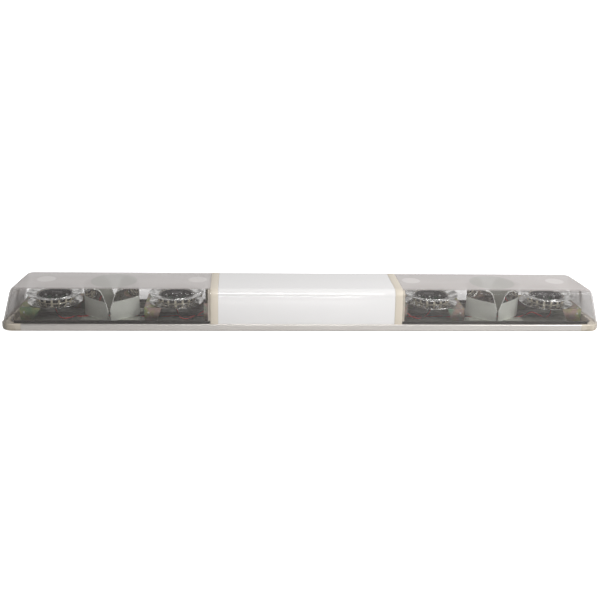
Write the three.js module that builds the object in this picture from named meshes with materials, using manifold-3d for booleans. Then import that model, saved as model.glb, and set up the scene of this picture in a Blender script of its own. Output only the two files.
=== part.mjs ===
// Slim roof-mounted LED light bar, in millimetres.
// X runs along the bar, -Y is the front, +Z is up, and the origin is under the middle of the base.
import * as THREE from 'three';
import { mergeVertices } from 'three/addons/utils/BufferGeometryUtils.js';
import Module from 'manifold-3d';

const wasm = await Module();
wasm.setup();

// ---- Driving dimensions ----

// Whole bar
const LENGTH = 1494;
const BASE_DEPTH = 186;
const HEIGHT = 105;
const END_SWEEP = 0.1;          // how far each end slopes back, per millimetre of depth
const TOUCH = 0.3;              // gap kept between pieces that rest on or beside each other

// Base extrusion
const LIP_HEIGHT = 19.5;
const BASE_SKIN = 3;
const LIP_WIDTH = 15;
const LIP_ROUND = 2.5;
const KEEL_ROUND = 9;
const RAIL_PITCH = 64;          // between the middles of the two mounting rails
const RAIL_WIDTH = 28;
const RAIL_HEIGHT = 13;
const RAIL_WALL = 4;
const SLOT_OPENING = 9;

// End caps
const CAP_LENGTH = 50;
const CAP_PLAIN = 14;           // length of the plain block before the grooved end
const CAP_CORNER = 26;
const CAP_WALL = 15;
const SPIGOT = 14;
const GROOVE_DEPTH = 1;
const GROOVE_WIDTH = 1.3;
const GROOVE_PITCH = 3.5;
const GROOVES = 4;

// Lenses
const LENS_WALL = 3;
const LENS_INSET = 3;           // from the base's outer face to the lens's lower edge
const LENS_LEAN = 8.5;          // how far the front wall leans in below the shoulder
const SHOULDER = 19;
const LENS_END_INSET = 3;       // from the cap's outer end to the lens's lower end
const END_RAKE = 23;
const END_ROUND = 7;
const LENS_CORNER = 14;
const SHOULDER_STEPS = 6;

// Joiner bands
const BAND_CENTRE = 229;
const BAND_WIDTH = 19;
const BAND_PROUD = 0.4;
const TONGUE_REACH = 6;
const TONGUE_WALL = 2.5;

// Gasket
const GASKET_HEIGHT = 6.5;
const GASKET_WIDTH = 5;

// Light modules
const MODULE_MARGIN = 25;       // from the base's outer face to the module's rim
const MODULE_GAP = 19.5;        // from the joiner band to the inner module's rim
const REFLECTOR_WIDTH = 23.7;
const DRUM_WALL = 4.3;
const CELL_RING_WALL = 2.5;
const CELLS = 16;
const CELL_POST = 5.2;          // width of the upright between two cells
const SHELF_HEIGHT = 50;
const GALLERY_HEIGHT = 12;      // height of the ring of cells between the two reflectors
const REFLECTOR_DROP = 4.6;
const REFLECTOR_WALL = 1.1;
const SHEET = 1.5;              // bracket and tray sheet thickness
const BRACKET_DEPTH = 116;
const BRACKET_PROUD = 8;        // how far the bracket reaches past the module's rim
const LEG_TOP = 42;
const LEG_FOOT = 26;

// Deflector mirrors
const MIRROR_OFFSET = 10.5;     // how far the pair stands beyond the middle of its two modules
const MIRROR_HEADROOM = 4;
const MIRROR_DEPTH = 116;
const MIRROR_CLEARANCE = 5;     // from the sheet at its widest to the outer module's rim
const MIRROR_SHEET = 1;
const MIRROR_GAP = 2.5;         // from the pair's middle plane to each sheet at the front edge

// Centre section
const TRAY_LENGTH = 404;
const TRAY_DEPTH = 118;
const TRAY_WALL = 14;
const BOARD_LENGTH = 380;
const BOARD_WIDTH = 22;
const CONTROL_LENGTH = 140;
const CONTROL_WIDTH = 28;

// Bulkheads
const BULKHEAD_TOP = 64;
const BULKHEAD_DEPTH = 122;
const BULKHEAD_FLANGE = 15;

// Screws and leads
const SCREW_SHANK = 1.9;
const SCREW_HEAD = 4;
const SCREW_HEAD_HEIGHT = 2.4;
const SCREW_INSET = 28;         // from the base's outer face to each screw
const SCREW_FROM_END = 25;
const SCREW_CLEARANCE = 0.4;
const LEAD_DIAMETER = 4.4;
const GROMMET_RADIUS = 9;

// ---- Sizes that follow from them ----

const HALF_LENGTH = LENGTH / 2;
const HALF_DEPTH = BASE_DEPTH / 2;
const BASE_END = HALF_LENGTH - CAP_LENGTH;
const RAIL_MIDDLE = RAIL_PITCH / 2;
const RAIL_OUTSIDE = RAIL_MIDDLE + RAIL_WIDTH / 2;
const RAIL_INSIDE = RAIL_MIDDLE - RAIL_WIDTH / 2;
const FLOOR_EDGE = HALF_DEPTH - LIP_WIDTH;
const LENS_HALF_DEPTH = HALF_DEPTH - LENS_INSET;
const LENS_HALF_LENGTH = HALF_LENGTH - LENS_END_INSET;
const LENS_BOTTOM = LIP_HEIGHT + TOUCH;
const GASKET_END = LENS_HALF_LENGTH - sweep(HALF_DEPTH) - LENS_CORNER;
const BAND_INSIDE = BAND_CENTRE - BAND_WIDTH / 2;
const BAND_OUTSIDE = BAND_CENTRE + BAND_WIDTH / 2;
const MODULE_RADIUS = HALF_DEPTH - MODULE_MARGIN;
const DRUM_RADIUS = MODULE_RADIUS - REFLECTOR_WIDTH;
const INNER_MODULE = BAND_OUTSIDE + MODULE_GAP + MODULE_RADIUS;
const OUTER_MODULE = BASE_END - MODULE_RADIUS;
const BRACKET_REACH = MODULE_RADIUS + BRACKET_PROUD;
const MIRROR_CENTRE = (INNER_MODULE + OUTER_MODULE) / 2 + MIRROR_OFFSET;
const MIRROR_SPREAD = OUTER_MODULE - MODULE_RADIUS - MIRROR_CLEARANCE - MIRROR_CENTRE;
const MIRROR_FOOT = RAIL_HEIGHT + TOUCH + SHEET / 2;
const MIRROR_TOP = HEIGHT - LENS_WALL - MIRROR_HEADROOM;
const GASKET_TOP = LENS_BOTTOM + GASKET_HEIGHT;
const GASKET_LEAN = LENS_LEAN * GASKET_HEIGHT / (HEIGHT - SHOULDER - LENS_BOTTOM);
const GASKET_OUTSIDE = LENS_HALF_DEPTH - LENS_WALL - TOUCH - GASKET_LEAN;
const REACH = LENGTH;           // long enough to cut right past the bar

// ---- Solids ----

const IDENTITY = new THREE.Matrix4();

function solid(geometry, matrix = IDENTITY) {
  const bare = new THREE.BufferGeometry();
  const source = geometry.clone().applyMatrix4(matrix);
  bare.setAttribute('position', source.getAttribute('position'));
  bare.setIndex(source.getIndex());
  const merged = mergeVertices(bare, 1e-4);
  return new wasm.Manifold(new wasm.Mesh({
    numProp: 3,
    vertProperties: new Float32Array(merged.getAttribute('position').array),
    triVerts: new Uint32Array(merged.getIndex().array),
  }));
}

function geometryOf(body) {
  const mesh = body.getMesh();
  const geometry = new THREE.BufferGeometry();
  geometry.setAttribute('position', new THREE.BufferAttribute(new Float32Array(mesh.vertProperties), 3));
  geometry.setIndex(new THREE.BufferAttribute(new Uint32Array(mesh.triVerts), 1));
  geometry.computeVertexNormals();
  return geometry;
}

function part(name, body, colour, roughness, metalness) {
  const material = new THREE.MeshStandardMaterial({ color: colour, roughness, metalness });
  const mesh = new THREE.Mesh(geometryOf(body), material);
  mesh.name = name;
  return mesh;
}

function block([x0, x1], [y0, y1], [z0, z1]) {
  const place = new THREE.Matrix4().makeTranslation((x0 + x1) / 2, (y0 + y1) / 2, (z0 + z1) / 2);
  return solid(new THREE.BoxGeometry(x1 - x0, y1 - y0, z1 - z0), place);
}

function outline(points) {
  return new THREE.Shape(points.map(([x, y]) => new THREE.Vector2(x, y)));
}

// A plan outline raised from one height to another.
function raised(shape, z0, z1, curveSegments = 12) {
  const geometry = new THREE.ExtrudeGeometry(shape, { depth: z1 - z0, bevelEnabled: false, curveSegments });
  return solid(geometry, new THREE.Matrix4().makeTranslation(0, 0, z0));
}

// A section drawn in Y and Z, run along X.
function alongX(shape, x0, x1, curveSegments = 6) {
  const geometry = new THREE.ExtrudeGeometry(shape, { depth: x1 - x0, bevelEnabled: false, curveSegments });
  const turn = new THREE.Matrix4().makeBasis(
    new THREE.Vector3(0, 1, 0),
    new THREE.Vector3(0, 0, 1),
    new THREE.Vector3(1, 0, 0),
  );
  turn.setPosition(x0, 0, 0);
  return solid(geometry, turn);
}

// A section drawn in X and Z, run along Y.
function alongY(shape, y0, y1) {
  const geometry = new THREE.ExtrudeGeometry(shape, { depth: y1 - y0, bevelEnabled: false });
  const turn = new THREE.Matrix4().makeBasis(
    new THREE.Vector3(1, 0, 0),
    new THREE.Vector3(0, 0, 1),
    new THREE.Vector3(0, -1, 0),
  );
  turn.setPosition(0, y1, 0);
  return solid(geometry, turn);
}

// A section of [radius, height] points turned about the vertical axis.
function turned(section, segments = 2 * CELLS) {
  const points = [...section, section[0]].map(([r, z]) => new THREE.Vector2(r, z));
  const upright = new THREE.Matrix4().makeRotationX(Math.PI / 2);
  return solid(new THREE.LatheGeometry(points, segments), upright);
}

function post(x, y, radius, z0, z1, segments = 12) {
  const place = new THREE.Matrix4().makeTranslation(x, y, (z0 + z1) / 2);
  const upright = new THREE.Matrix4().makeRotationX(Math.PI / 2);
  return solid(new THREE.CylinderGeometry(radius, radius, z1 - z0, segments), place.multiply(upright));
}

function roundedRectangle(halfX, halfY, radius) {
  const shape = new THREE.Shape();
  shape.absarc(halfX - radius, halfY - radius, radius, 0, Math.PI / 2);
  shape.absarc(radius - halfX, halfY - radius, radius, Math.PI / 2, Math.PI);
  shape.absarc(radius - halfX, radius - halfY, radius, Math.PI, 1.5 * Math.PI);
  shape.absarc(halfX - radius, radius - halfY, radius, 1.5 * Math.PI, 2 * Math.PI);
  return shape;
}

// The ends slope back from the widest point, where the front corners' rounding starts.
function sweep(y) {
  return END_SWEEP * (y + HALF_DEPTH - CAP_CORNER);
}

// A rounded rectangle stacked through levels of { z, x, y }, where x and y are that level's insets.
function stacked(halfX, halfY, radius, levels) {
  const geometry = new THREE.ExtrudeGeometry(roundedRectangle(halfX, halfY, radius), {
    depth: levels.length - 1,
    steps: levels.length - 1,
    bevelEnabled: false,
    curveSegments: 3,
  });
  const position = geometry.getAttribute('position');
  for (let i = 0; i < position.count; i += 1) {
    const level = levels[Math.round(position.getZ(i))];
    const side = Math.sign(position.getX(i));
    const y = position.getY(i) - Math.sign(position.getY(i)) * level.y;
    const x = position.getX(i) - side * (level.x + sweep(y));
    position.setXYZ(i, x, y, level.z);
  }
  return solid(geometry);
}

// How far the lens's wall has come in at height z, without and with its wall thickness.
function lensInset(z, top, shoulder, bottom) {
  const springing = top - shoulder;
  if (z <= springing) {
    return LENS_LEAN * (z - bottom) / (springing - bottom);
  }
  const rise = Math.min(1, (z - springing) / shoulder);
  return LENS_LEAN + shoulder * (1 - Math.sqrt(1 - rise * rise));
}

function endInset(z, top, round) {
  const rake = END_RAKE * (z - LENS_BOTTOM) / (HEIGHT - LENS_BOTTOM);
  const rise = Math.min(1, Math.max(0, (z - (top - round)) / round));
  return rake + round * (1 - Math.sqrt(1 - rise * rise));
}

// The bar's common lens body, drawn in from the outer face by depth, from a chosen lower height.
function lensBody(depth, bottom) {
  const top = HEIGHT - depth;
  const shoulder = SHOULDER - depth;
  const springing = top - shoulder;
  const round = Math.max(1, END_ROUND - depth);
  const heights = [bottom, springing];
  for (let step = 1; step <= SHOULDER_STEPS; step += 1) {
    heights.push(springing + shoulder * Math.sin(step / SHOULDER_STEPS * Math.PI / 2));
  }
  const levels = heights.map((z) => ({
    z,
    x: endInset(z, top, round),
    y: lensInset(z, top, shoulder, LENS_BOTTOM),
  }));
  return stacked(LENS_HALF_LENGTH - depth, LENS_HALF_DEPTH - depth, LENS_CORNER - depth / 2, levels);
}

function between(body, x0, x1) {
  return body.intersect(block([x0, x1], [-REACH, REACH], [-REACH, REACH]));
}

// Pieces for the left are the right ones mirrored.
function mirrored(body) {
  return body.mirror([1, 0, 0]);
}

function handed(body, side) {
  return side > 0 ? body : mirrored(body);
}

// ---- Base ----

function baseSection() {
  const slot = SLOT_OPENING / 2;
  const cavity = RAIL_WIDTH / 2 - RAIL_WALL;
  const roof = RAIL_HEIGHT - BASE_SKIN;
  const half = [
    [RAIL_MIDDLE - slot, 0],
    [RAIL_MIDDLE - slot, BASE_SKIN],
    [RAIL_MIDDLE - cavity, BASE_SKIN],
    [RAIL_MIDDLE - cavity, roof],
    [RAIL_MIDDLE + cavity, roof],
    [RAIL_MIDDLE + cavity, BASE_SKIN],
    [RAIL_MIDDLE + slot, BASE_SKIN],
    [RAIL_MIDDLE + slot, 0],
  ];
  for (let step = 0; step <= 3; step += 1) {
    const angle = step / 3 * Math.PI / 2;
    half.push([
      HALF_DEPTH - KEEL_ROUND * (1 - Math.sin(angle)),
      KEEL_ROUND * (1 - Math.cos(angle)),
    ]);
  }
  for (let step = 0; step <= 2; step += 1) {
    const angle = step / 2 * Math.PI / 2;
    half.push([
      HALF_DEPTH - LIP_ROUND * (1 - Math.cos(angle)),
      LIP_HEIGHT - LIP_ROUND * (1 - Math.sin(angle)),
    ]);
  }
  half.push(
    [FLOOR_EDGE, LIP_HEIGHT],
    [FLOOR_EDGE, BASE_SKIN],
    [RAIL_OUTSIDE, BASE_SKIN],
    [RAIL_OUTSIDE, RAIL_HEIGHT],
    [RAIL_INSIDE, RAIL_HEIGHT],
    [RAIL_INSIDE, BASE_SKIN],
  );
  return outline([...half, ...half.map(([y, z]) => [-y, z]).reverse()]);
}

// The hollow inside the front lip (flip -1) or the rear one, drawn in by a clearance for the cap's spigot.
function lipHollow(flip, clearance) {
  const inside = FLOOR_EDGE + BASE_SKIN + clearance;
  const outside = HALF_DEPTH - BASE_SKIN - clearance;
  const low = BASE_SKIN + clearance;
  const high = LIP_HEIGHT - BASE_SKIN - clearance;
  const points = [
    [inside, low],
    [outside - KEEL_ROUND / 3, low],
    [outside, low + KEEL_ROUND / 2],
    [outside, high],
    [inside, high],
  ];
  return outline(points.map(([y, z]) => [flip * y, z]));
}

function baseExtrusion() {
  let body = alongX(baseSection(), -BASE_END, BASE_END);
  for (const flip of [-1, 1]) {
    body = body.subtract(alongX(lipHollow(flip, 0), -HALF_LENGTH, HALF_LENGTH));
  }
  return body.subtract(post(GROMMET_X, GROMMET_Y, GROMMET_RADIUS, -1, BASE_SKIN + 1, 20));
}

const GROMMET_X = 100;
const GROMMET_Y = (RAIL_OUTSIDE + FLOOR_EDGE) / 2;

function supplyGrommet() {
  const neck = GROMMET_RADIUS - TOUCH;
  const flange = GROMMET_RADIUS + 2.5;
  const seat = BASE_SKIN + TOUCH;
  const ring = turned([
    [5, TOUCH],
    [neck, TOUCH],
    [neck, seat],
    [flange, seat],
    [flange, seat + 2],
    [5, seat + 3],
  ], 16);
  return ring.translate([GROMMET_X, GROMMET_Y, 0]);
}

function gasket(side) {
  const inside = GASKET_OUTSIDE - GASKET_WIDTH;
  const crown = GASKET_WIDTH / 2;
  const shape = new THREE.Shape();
  shape.moveTo(inside, LENS_BOTTOM);
  shape.lineTo(GASKET_OUTSIDE, LENS_BOTTOM);
  shape.lineTo(GASKET_OUTSIDE, GASKET_TOP - crown);
  shape.absarc(inside + crown, GASKET_TOP - crown, crown, 0, Math.PI);
  const body = alongX(shape, TOUCH - GASKET_END, GASKET_END - TOUCH);
  return side > 0 ? body : body.mirror([0, 1, 0]);
}

// ---- End caps ----

function capSolid(depth, z0, z1) {
  const levels = [
    { z: z0, x: depth, y: depth },
    { z: z1, x: depth, y: depth },
  ];
  return stacked(HALF_LENGTH, HALF_DEPTH, CAP_CORNER, levels);
}

function capOuter() {
  const levels = [];
  for (let step = 0; step <= 3; step += 1) {
    const angle = step / 3 * Math.PI / 2;
    const inset = KEEL_ROUND * (1 - Math.sin(angle));
    levels.push({ z: KEEL_ROUND * (1 - Math.cos(angle)), x: inset, y: inset });
  }
  for (let step = 0; step <= 2; step += 1) {
    const angle = step / 2 * Math.PI / 2;
    const inset = LIP_ROUND * (1 - Math.cos(angle));
    levels.push({ z: LIP_HEIGHT - LIP_ROUND * (1 - Math.sin(angle)), x: inset, y: inset });
  }
  return stacked(HALF_LENGTH, HALF_DEPTH, CAP_CORNER, levels);
}

const SCREW_X = HALF_LENGTH - SCREW_FROM_END;
const SCREW_Y = HALF_DEPTH - SCREW_INSET;
const PAD_HEIGHT = BASE_SKIN + SCREW_HEAD_HEIGHT + 2.6;

function screwPlaces() {
  return [-SCREW_Y, SCREW_Y].map((y) => [SCREW_X - sweep(y), y]);
}

function capUpstand() {
  const outside = GASKET_OUTSIDE;
  const endOutside = LENS_HALF_LENGTH - LENS_WALL - TOUCH;
  const ring = (drawn) => stacked(endOutside - drawn, outside - drawn, LENS_CORNER - LENS_WALL / 2, [
    { z: LIP_HEIGHT - 1, x: 0, y: 0 },
    { z: GASKET_TOP, x: END_RAKE * GASKET_HEIGHT / (HEIGHT - LENS_BOTTOM), y: 0 },
  ]);
  return ring(0).subtract(ring(GASKET_WIDTH / 2));
}

function endCap() {
  let body = between(capOuter(), BASE_END + TOUCH, HALF_LENGTH + 1);
  body = body.subtract(between(capSolid(CAP_WALL, BASE_SKIN, LIP_HEIGHT + 1), 0, HALF_LENGTH));
  for (let groove = 0; groove < GROOVES; groove += 1) {
    const z = LIP_HEIGHT - 3.5 - groove * GROOVE_PITCH;
    const cut = capSolid(-2, z - GROOVE_WIDTH, z).subtract(capSolid(GROOVE_DEPTH, z - 5, z + 5));
    body = body.subtract(between(cut, BASE_END + CAP_PLAIN, HALF_LENGTH + 5));
  }
  body = body.add(between(capUpstand(), GASKET_END, HALF_LENGTH));
  for (const flip of [-1, 1]) {
    body = body.add(alongX(lipHollow(flip, TOUCH), BASE_END - SPIGOT, BASE_END + 1));
  }
  for (const [x, y] of screwPlaces()) {
    body = body.add(post(x, y, SCREW_HEAD + 3, 1, PAD_HEIGHT));
    body = body.subtract(post(x, y, SCREW_HEAD + SCREW_CLEARANCE, -1, SCREW_HEAD_HEIGHT + 2));
    body = body.subtract(post(x, y, SCREW_SHANK + SCREW_CLEARANCE, -1, PAD_HEIGHT + 1));
  }
  return body;
}

function capScrew([x, y]) {
  const underHead = SCREW_HEAD_HEIGHT + 2 - TOUCH;
  const head = post(x, y, SCREW_HEAD, underHead - SCREW_HEAD_HEIGHT, underHead);
  return head.add(post(x, y, SCREW_SHANK, underHead - 1, PAD_HEIGHT + 14, 12));
}

// ---- Lenses and bands ----

const lensOuter = lensBody(0, LENS_BOTTOM);
const lensInner = lensBody(LENS_WALL, LENS_BOTTOM - 5);
const lensShell = lensOuter.subtract(lensInner);

function dome() {
  let body = between(lensShell, BAND_OUTSIDE + TOUCH, HALF_LENGTH);
  for (const [x, y] of screwPlaces()) {
    const top = GASKET_TOP + 16;
    const boss = post(x, y, SCREW_HEAD, PAD_HEIGHT + TOUCH, top);
    const web = block([x, HALF_LENGTH], [y - 1.2, y + 1.2], [GASKET_TOP + 1, top]).intersect(lensOuter);
    body = body.add(boss).add(web);
    body = body.subtract(post(x, y, SCREW_SHANK + SCREW_CLEARANCE, 0, PAD_HEIGHT + 16, 12));
  }
  return body;
}

function centreLens() {
  return between(lensShell, TOUCH - BAND_INSIDE, BAND_INSIDE - TOUCH);
}

function joinerBand() {
  const skin = lensBody(-BAND_PROUD, LENS_BOTTOM).subtract(lensInner);
  const outer = lensBody(LENS_WALL + TOUCH, GASKET_TOP + TOUCH);
  const inner = lensBody(LENS_WALL + TOUCH + TONGUE_WALL, GASKET_TOP - 1);
  const tongue = between(outer.subtract(inner), BAND_INSIDE - TONGUE_REACH, BAND_OUTSIDE + TONGUE_REACH);
  const bridge = lensBody(LENS_WALL - 0.5, GASKET_TOP + TOUCH).subtract(inner);
  return between(skin, BAND_INSIDE, BAND_OUTSIDE)
    .add(tongue)
    .add(between(bridge, BAND_INSIDE + 1, BAND_OUTSIDE - 1));
}

// ---- Bulkheads ----

const BULKHEAD_X = BAND_OUTSIDE + TONGUE_REACH - 4;
const LOW_LEAD = [6, 7];        // Y and Z where the outer module's lead passes through
const HIGH_LEAD = [-38, 38];    // Y and Z where the inner module's lead passes through

function bulkhead() {
  const half = BULKHEAD_DEPTH / 2;
  const web = outline([
    [-half, RAIL_HEIGHT + TOUCH],
    [-RAIL_INSIDE + 1, RAIL_HEIGHT + TOUCH],
    [-RAIL_INSIDE + 1, BASE_SKIN + TOUCH],
    [RAIL_INSIDE - 1, BASE_SKIN + TOUCH],
    [RAIL_INSIDE - 1, RAIL_HEIGHT + TOUCH],
    [half, RAIL_HEIGHT + TOUCH],
    [half, BULKHEAD_TOP],
    [-half, BULKHEAD_TOP],
  ]);
  let body = alongX(web, BULKHEAD_X, BULKHEAD_X + SHEET);
  for (const [low, high] of [[-half, SHEET - half], [half - SHEET, half]]) {
    const wing = [BULKHEAD_X, BULKHEAD_X + BULKHEAD_FLANGE];
    body = body.add(block(wing, [low, high], [BASE_SKIN + TOUCH, BULKHEAD_TOP]));
  }
  for (const [y, z] of [LOW_LEAD, HIGH_LEAD]) {
    const hole = post(0, 0, LEAD_DIAMETER, -5, 5, 16).rotate([0, 90, 0]);
    body = body.subtract(hole.translate([BULKHEAD_X, y, z]));
  }
  return body;
}

// ---- Light modules ----

const FLANGE_TOP = SHELF_HEIGHT + TOUCH + REFLECTOR_WALL;
const GALLERY_BOTTOM = FLANGE_TOP + REFLECTOR_DROP;
const GALLERY_TOP = GALLERY_BOTTOM + TOUCH + GALLERY_HEIGHT;
const RING_INSIDE = DRUM_RADIUS + 2 * TOUCH;
const RING_OUTSIDE = RING_INSIDE + CELL_RING_WALL;
const BOARD_BOTTOM = FLANGE_TOP + TOUCH;

function lowerReflector() {
  const eye = DRUM_RADIUS - 16;
  return turned([
    [eye, SHELF_HEIGHT + TOUCH],
    [RING_INSIDE + 1, SHELF_HEIGHT + TOUCH],
    [RING_OUTSIDE - 0.6, GALLERY_BOTTOM - REFLECTOR_WALL],
    [MODULE_RADIUS - 0.5, FLANGE_TOP - REFLECTOR_WALL],
    [MODULE_RADIUS, FLANGE_TOP - REFLECTOR_WALL / 2],
    [MODULE_RADIUS - 0.2, FLANGE_TOP + 0.2],
    [RING_OUTSIDE, GALLERY_BOTTOM],
    [RING_INSIDE, GALLERY_BOTTOM],
    [RING_INSIDE - 0.1, FLANGE_TOP],
    [eye, FLANGE_TOP],
  ]);
}

function upperReflector() {
  const seat = GALLERY_TOP + TOUCH;
  return turned([
    [RING_INSIDE, seat],
    [RING_OUTSIDE, seat],
    [MODULE_RADIUS - 0.2, seat + REFLECTOR_DROP - 0.9],
    [MODULE_RADIUS, seat + REFLECTOR_DROP - 0.2],
    [MODULE_RADIUS - 0.4, seat + REFLECTOR_DROP + 0.4],
    [RING_OUTSIDE, seat + REFLECTOR_WALL + 0.4],
    [RING_INSIDE, seat + REFLECTOR_WALL],
  ]);
}

function cellRing() {
  const z0 = GALLERY_BOTTOM + TOUCH;
  let body = turned([
    [RING_INSIDE, z0],
    [RING_OUTSIDE, z0],
    [RING_OUTSIDE, GALLERY_TOP],
    [RING_INSIDE, GALLERY_TOP],
  ], CELLS);
  const half = Math.PI * RING_INSIDE / CELLS - CELL_POST / 2;
  const window = block([RING_INSIDE - 3, RING_OUTSIDE + 3], [-half, half], [z0 + 1, GALLERY_TOP - 1]);
  for (let cell = 0; cell < CELLS; cell += 1) {
    body = body.subtract(window.rotate([0, 0, 360 * (cell + 0.5) / CELLS]));
  }
  return body;
}

function ledDrum() {
  return turned([
    [DRUM_RADIUS - DRUM_WALL, BOARD_BOTTOM],
    [DRUM_RADIUS, BOARD_BOTTOM],
    [DRUM_RADIUS, GALLERY_TOP + 0.6],
    [DRUM_RADIUS - DRUM_WALL, GALLERY_TOP + 0.6],
  ], CELLS);
}

function driverBoard() {
  const radius = DRUM_RADIUS - DRUM_WALL - 2 * TOUCH;
  const top = BOARD_BOTTOM + 1.6;
  const body = post(0, 0, radius, BOARD_BOTTOM, top, CELLS);
  const inductor = block([-13, 13], [radius - 19, radius - 8], [top - 1, top + 12]);
  const regulators = [-3, -1, 1, 3].map((place) => {
    const x = place * radius / 5;
    return block([x - 3, x + 3], [4, 11], [top - 1, top + 4]);
  });
  return regulators.reduce((joined, piece) => joined.add(piece), body.add(inductor));
}

// The shelf is cut back at its inner front corner, where the lead hangs down.
function bracket(legTop) {
  const half = BRACKET_DEPTH / 2;
  const inner = -MODULE_RADIUS + 6;
  const shelf = outline([
    [BRACKET_REACH, -half],
    [BRACKET_REACH, half],
    [inner, half],
    [inner, 6],
    [BRACKET_REACH - legTop, -half],
  ]);
  const eye = post(0, 0, DRUM_RADIUS - 18, SHELF_HEIGHT - 5, SHELF_HEIGHT + 5, 16);
  let body = raised(shelf, SHELF_HEIGHT - SHEET, SHELF_HEIGHT).subtract(eye);
  const floor = BASE_SKIN + TOUCH;
  const outerLeg = outline([
    [BRACKET_REACH, floor],
    [BRACKET_REACH, SHELF_HEIGHT],
    [BRACKET_REACH - legTop, SHELF_HEIGHT],
    [BRACKET_REACH - LEG_FOOT, floor],
  ]);
  const innerLeg = outline([
    [inner, floor],
    [inner + LEG_FOOT, floor],
    [inner + LEG_TOP, SHELF_HEIGHT],
    [inner, SHELF_HEIGHT],
  ]);
  const toe = RAIL_OUTSIDE + 2;
  body = body
    .add(alongY(outerLeg, -half, SHEET - half))
    .add(alongY(outerLeg, half - SHEET, half))
    .add(alongY(innerLeg, half - SHEET, half))
    .add(block([BRACKET_REACH - LEG_FOOT, BRACKET_REACH], [-half, -toe], [floor, floor + SHEET]))
    .add(block([BRACKET_REACH - LEG_FOOT, BRACKET_REACH], [toe, half], [floor, floor + SHEET]))
    .add(block([inner, inner + LEG_FOOT], [toe, half], [floor, floor + SHEET]));
  return body;
}

const CHROME = [0xe6e8ea, 0.08, 1];
const ZINC = [0xa9a878, 0.35, 0.9];

function lightModule(number, x) {
  const side = Math.sign(x);
  const legTop = Math.abs(x) === OUTER_MODULE ? LEG_TOP + 8 : LEG_TOP;
  const group = new THREE.Group();
  const name = (piece) => `module_${number}_${piece}`;
  group.add(part(name('bracket'), handed(bracket(legTop), side), ...ZINC));
  group.add(part(name('lower_reflector'), lowerReflector(), ...CHROME));
  group.add(part(name('driver_board'), driverBoard(), 0x1d3b2a, 0.6, 0));
  group.add(part(name('led_drum'), ledDrum(), 0x14161a, 0.4, 0));
  group.add(part(name('cell_ring'), cellRing(), 0xe9dcc0, 0.35, 0));
  group.add(part(name('upper_reflector'), upperReflector(), ...CHROME));
  group.position.set(x, 0, 0);
  return group;
}

// ---- Leads, as routes of [x, y, z] points from each module to the control box ----

const LEAD_END = CONTROL_LENGTH / 2 + TOUCH;
const LEAD_START = BOARD_BOTTOM - 2 * TOUCH;
const CHANNEL = 7;
const LEADS = {
  1: [
    [-629, -14, LEAD_START], [-629, -14.5, 46], [-624, -28, 33], [-614, -36, 22], [-601, -37, 15.6],
    [-586, -33, 15.8], [-574, -20, 16.4], [-562, -8, 11], [-545, 2, CHANNEL], [-500, 6, CHANNEL],
    [-400, 6, CHANNEL], [-300, 6, CHANNEL], [-240, 6, CHANNEL], [-160, 6, CHANNEL], [-LEAD_END, 6, CHANNEL],
  ],
  2: [
    [-326, -14, LEAD_START], [-326, -14.5, 46], [-324, -28, 33], [-317, -36, 22], [-306, -37, 15.6],
    [-291, -37, 15.8], [-275, -38, 24], [-260, -38, 34], [-242, -38, 38], [-226, -32, 30],
    [-213, -18, 16], [-198, -8, CHANNEL], [-150, -6, CHANNEL], [-LEAD_END, -6, CHANNEL],
  ],
  3: [
    [326, -14, LEAD_START], [326, -14.5, 46], [318, -29, 33], [305, -36, 22], [290, -37, 15.8],
    [274, -38, 21], [258, -38, 34], [242, -38, 38], [226, -32, 30],
    [213, -18, 16], [198, -8, CHANNEL], [150, -6, CHANNEL], [LEAD_END, -6, CHANNEL],
  ],
  4: [
    [641, -14, LEAD_START], [641, -14.5, 46], [632, -33, 29], [617, -40, 22], [601, -38, 27],
    [586, -27, 32], [574, -14, 19], [562, -4, 9], [545, 4, CHANNEL], [500, 6, CHANNEL],
    [400, 6, CHANNEL], [300, 6, CHANNEL], [240, 6, CHANNEL], [160, 6, CHANNEL], [LEAD_END, 6, CHANNEL],
  ],
};

function lead(points) {
  const path = new THREE.CatmullRomCurve3(points.map((point) => new THREE.Vector3(...point)));
  const section = new THREE.Shape();
  section.absarc(0, 0, LEAD_DIAMETER / 2, 0, 2 * Math.PI);
  const steps = Math.min(80, Math.round(path.getLength() / (3 * LEAD_DIAMETER)));
  return solid(new THREE.ExtrudeGeometry(section, { steps, extrudePath: path, curveSegments: 4 }));
}

// ---- Deflector mirrors ----

// The front edge of one sheet: how far it has curled out, and its share of the sheet's height.
const mirrorEdge = new THREE.SplineCurve([
  [0, 0],
  [0, 0.19],
  [0.6, 0.36],
  [3.5, 0.5],
  [8, 0.66],
  [12, 0.81],
  [17, 0.92],
  [24, 0.98],
  [32, 1],
].map(([curl, share]) => {
  const height = MIRROR_FOOT + share * (MIRROR_TOP - MIRROR_FOOT);
  return new THREE.Vector2(MIRROR_GAP + curl, height);
}));
const MIRROR_ROWS = 9;
const MIRROR_COLUMNS = 12;

// Across the bar, each sheet swells out to MIRROR_SPREAD at mid-depth, like one side of a diamond.
function mirrorPoint(along, up) {
  const edge = mirrorEdge.getPoint(Math.min(1, Math.max(0, up)));
  const swell = 1 - Math.abs(along) ** 1.25;
  const offset = edge.x + (MIRROR_SPREAD - edge.x) * swell;
  return new THREE.Vector3(offset, along * MIRROR_DEPTH / 2, edge.y);
}

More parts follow.
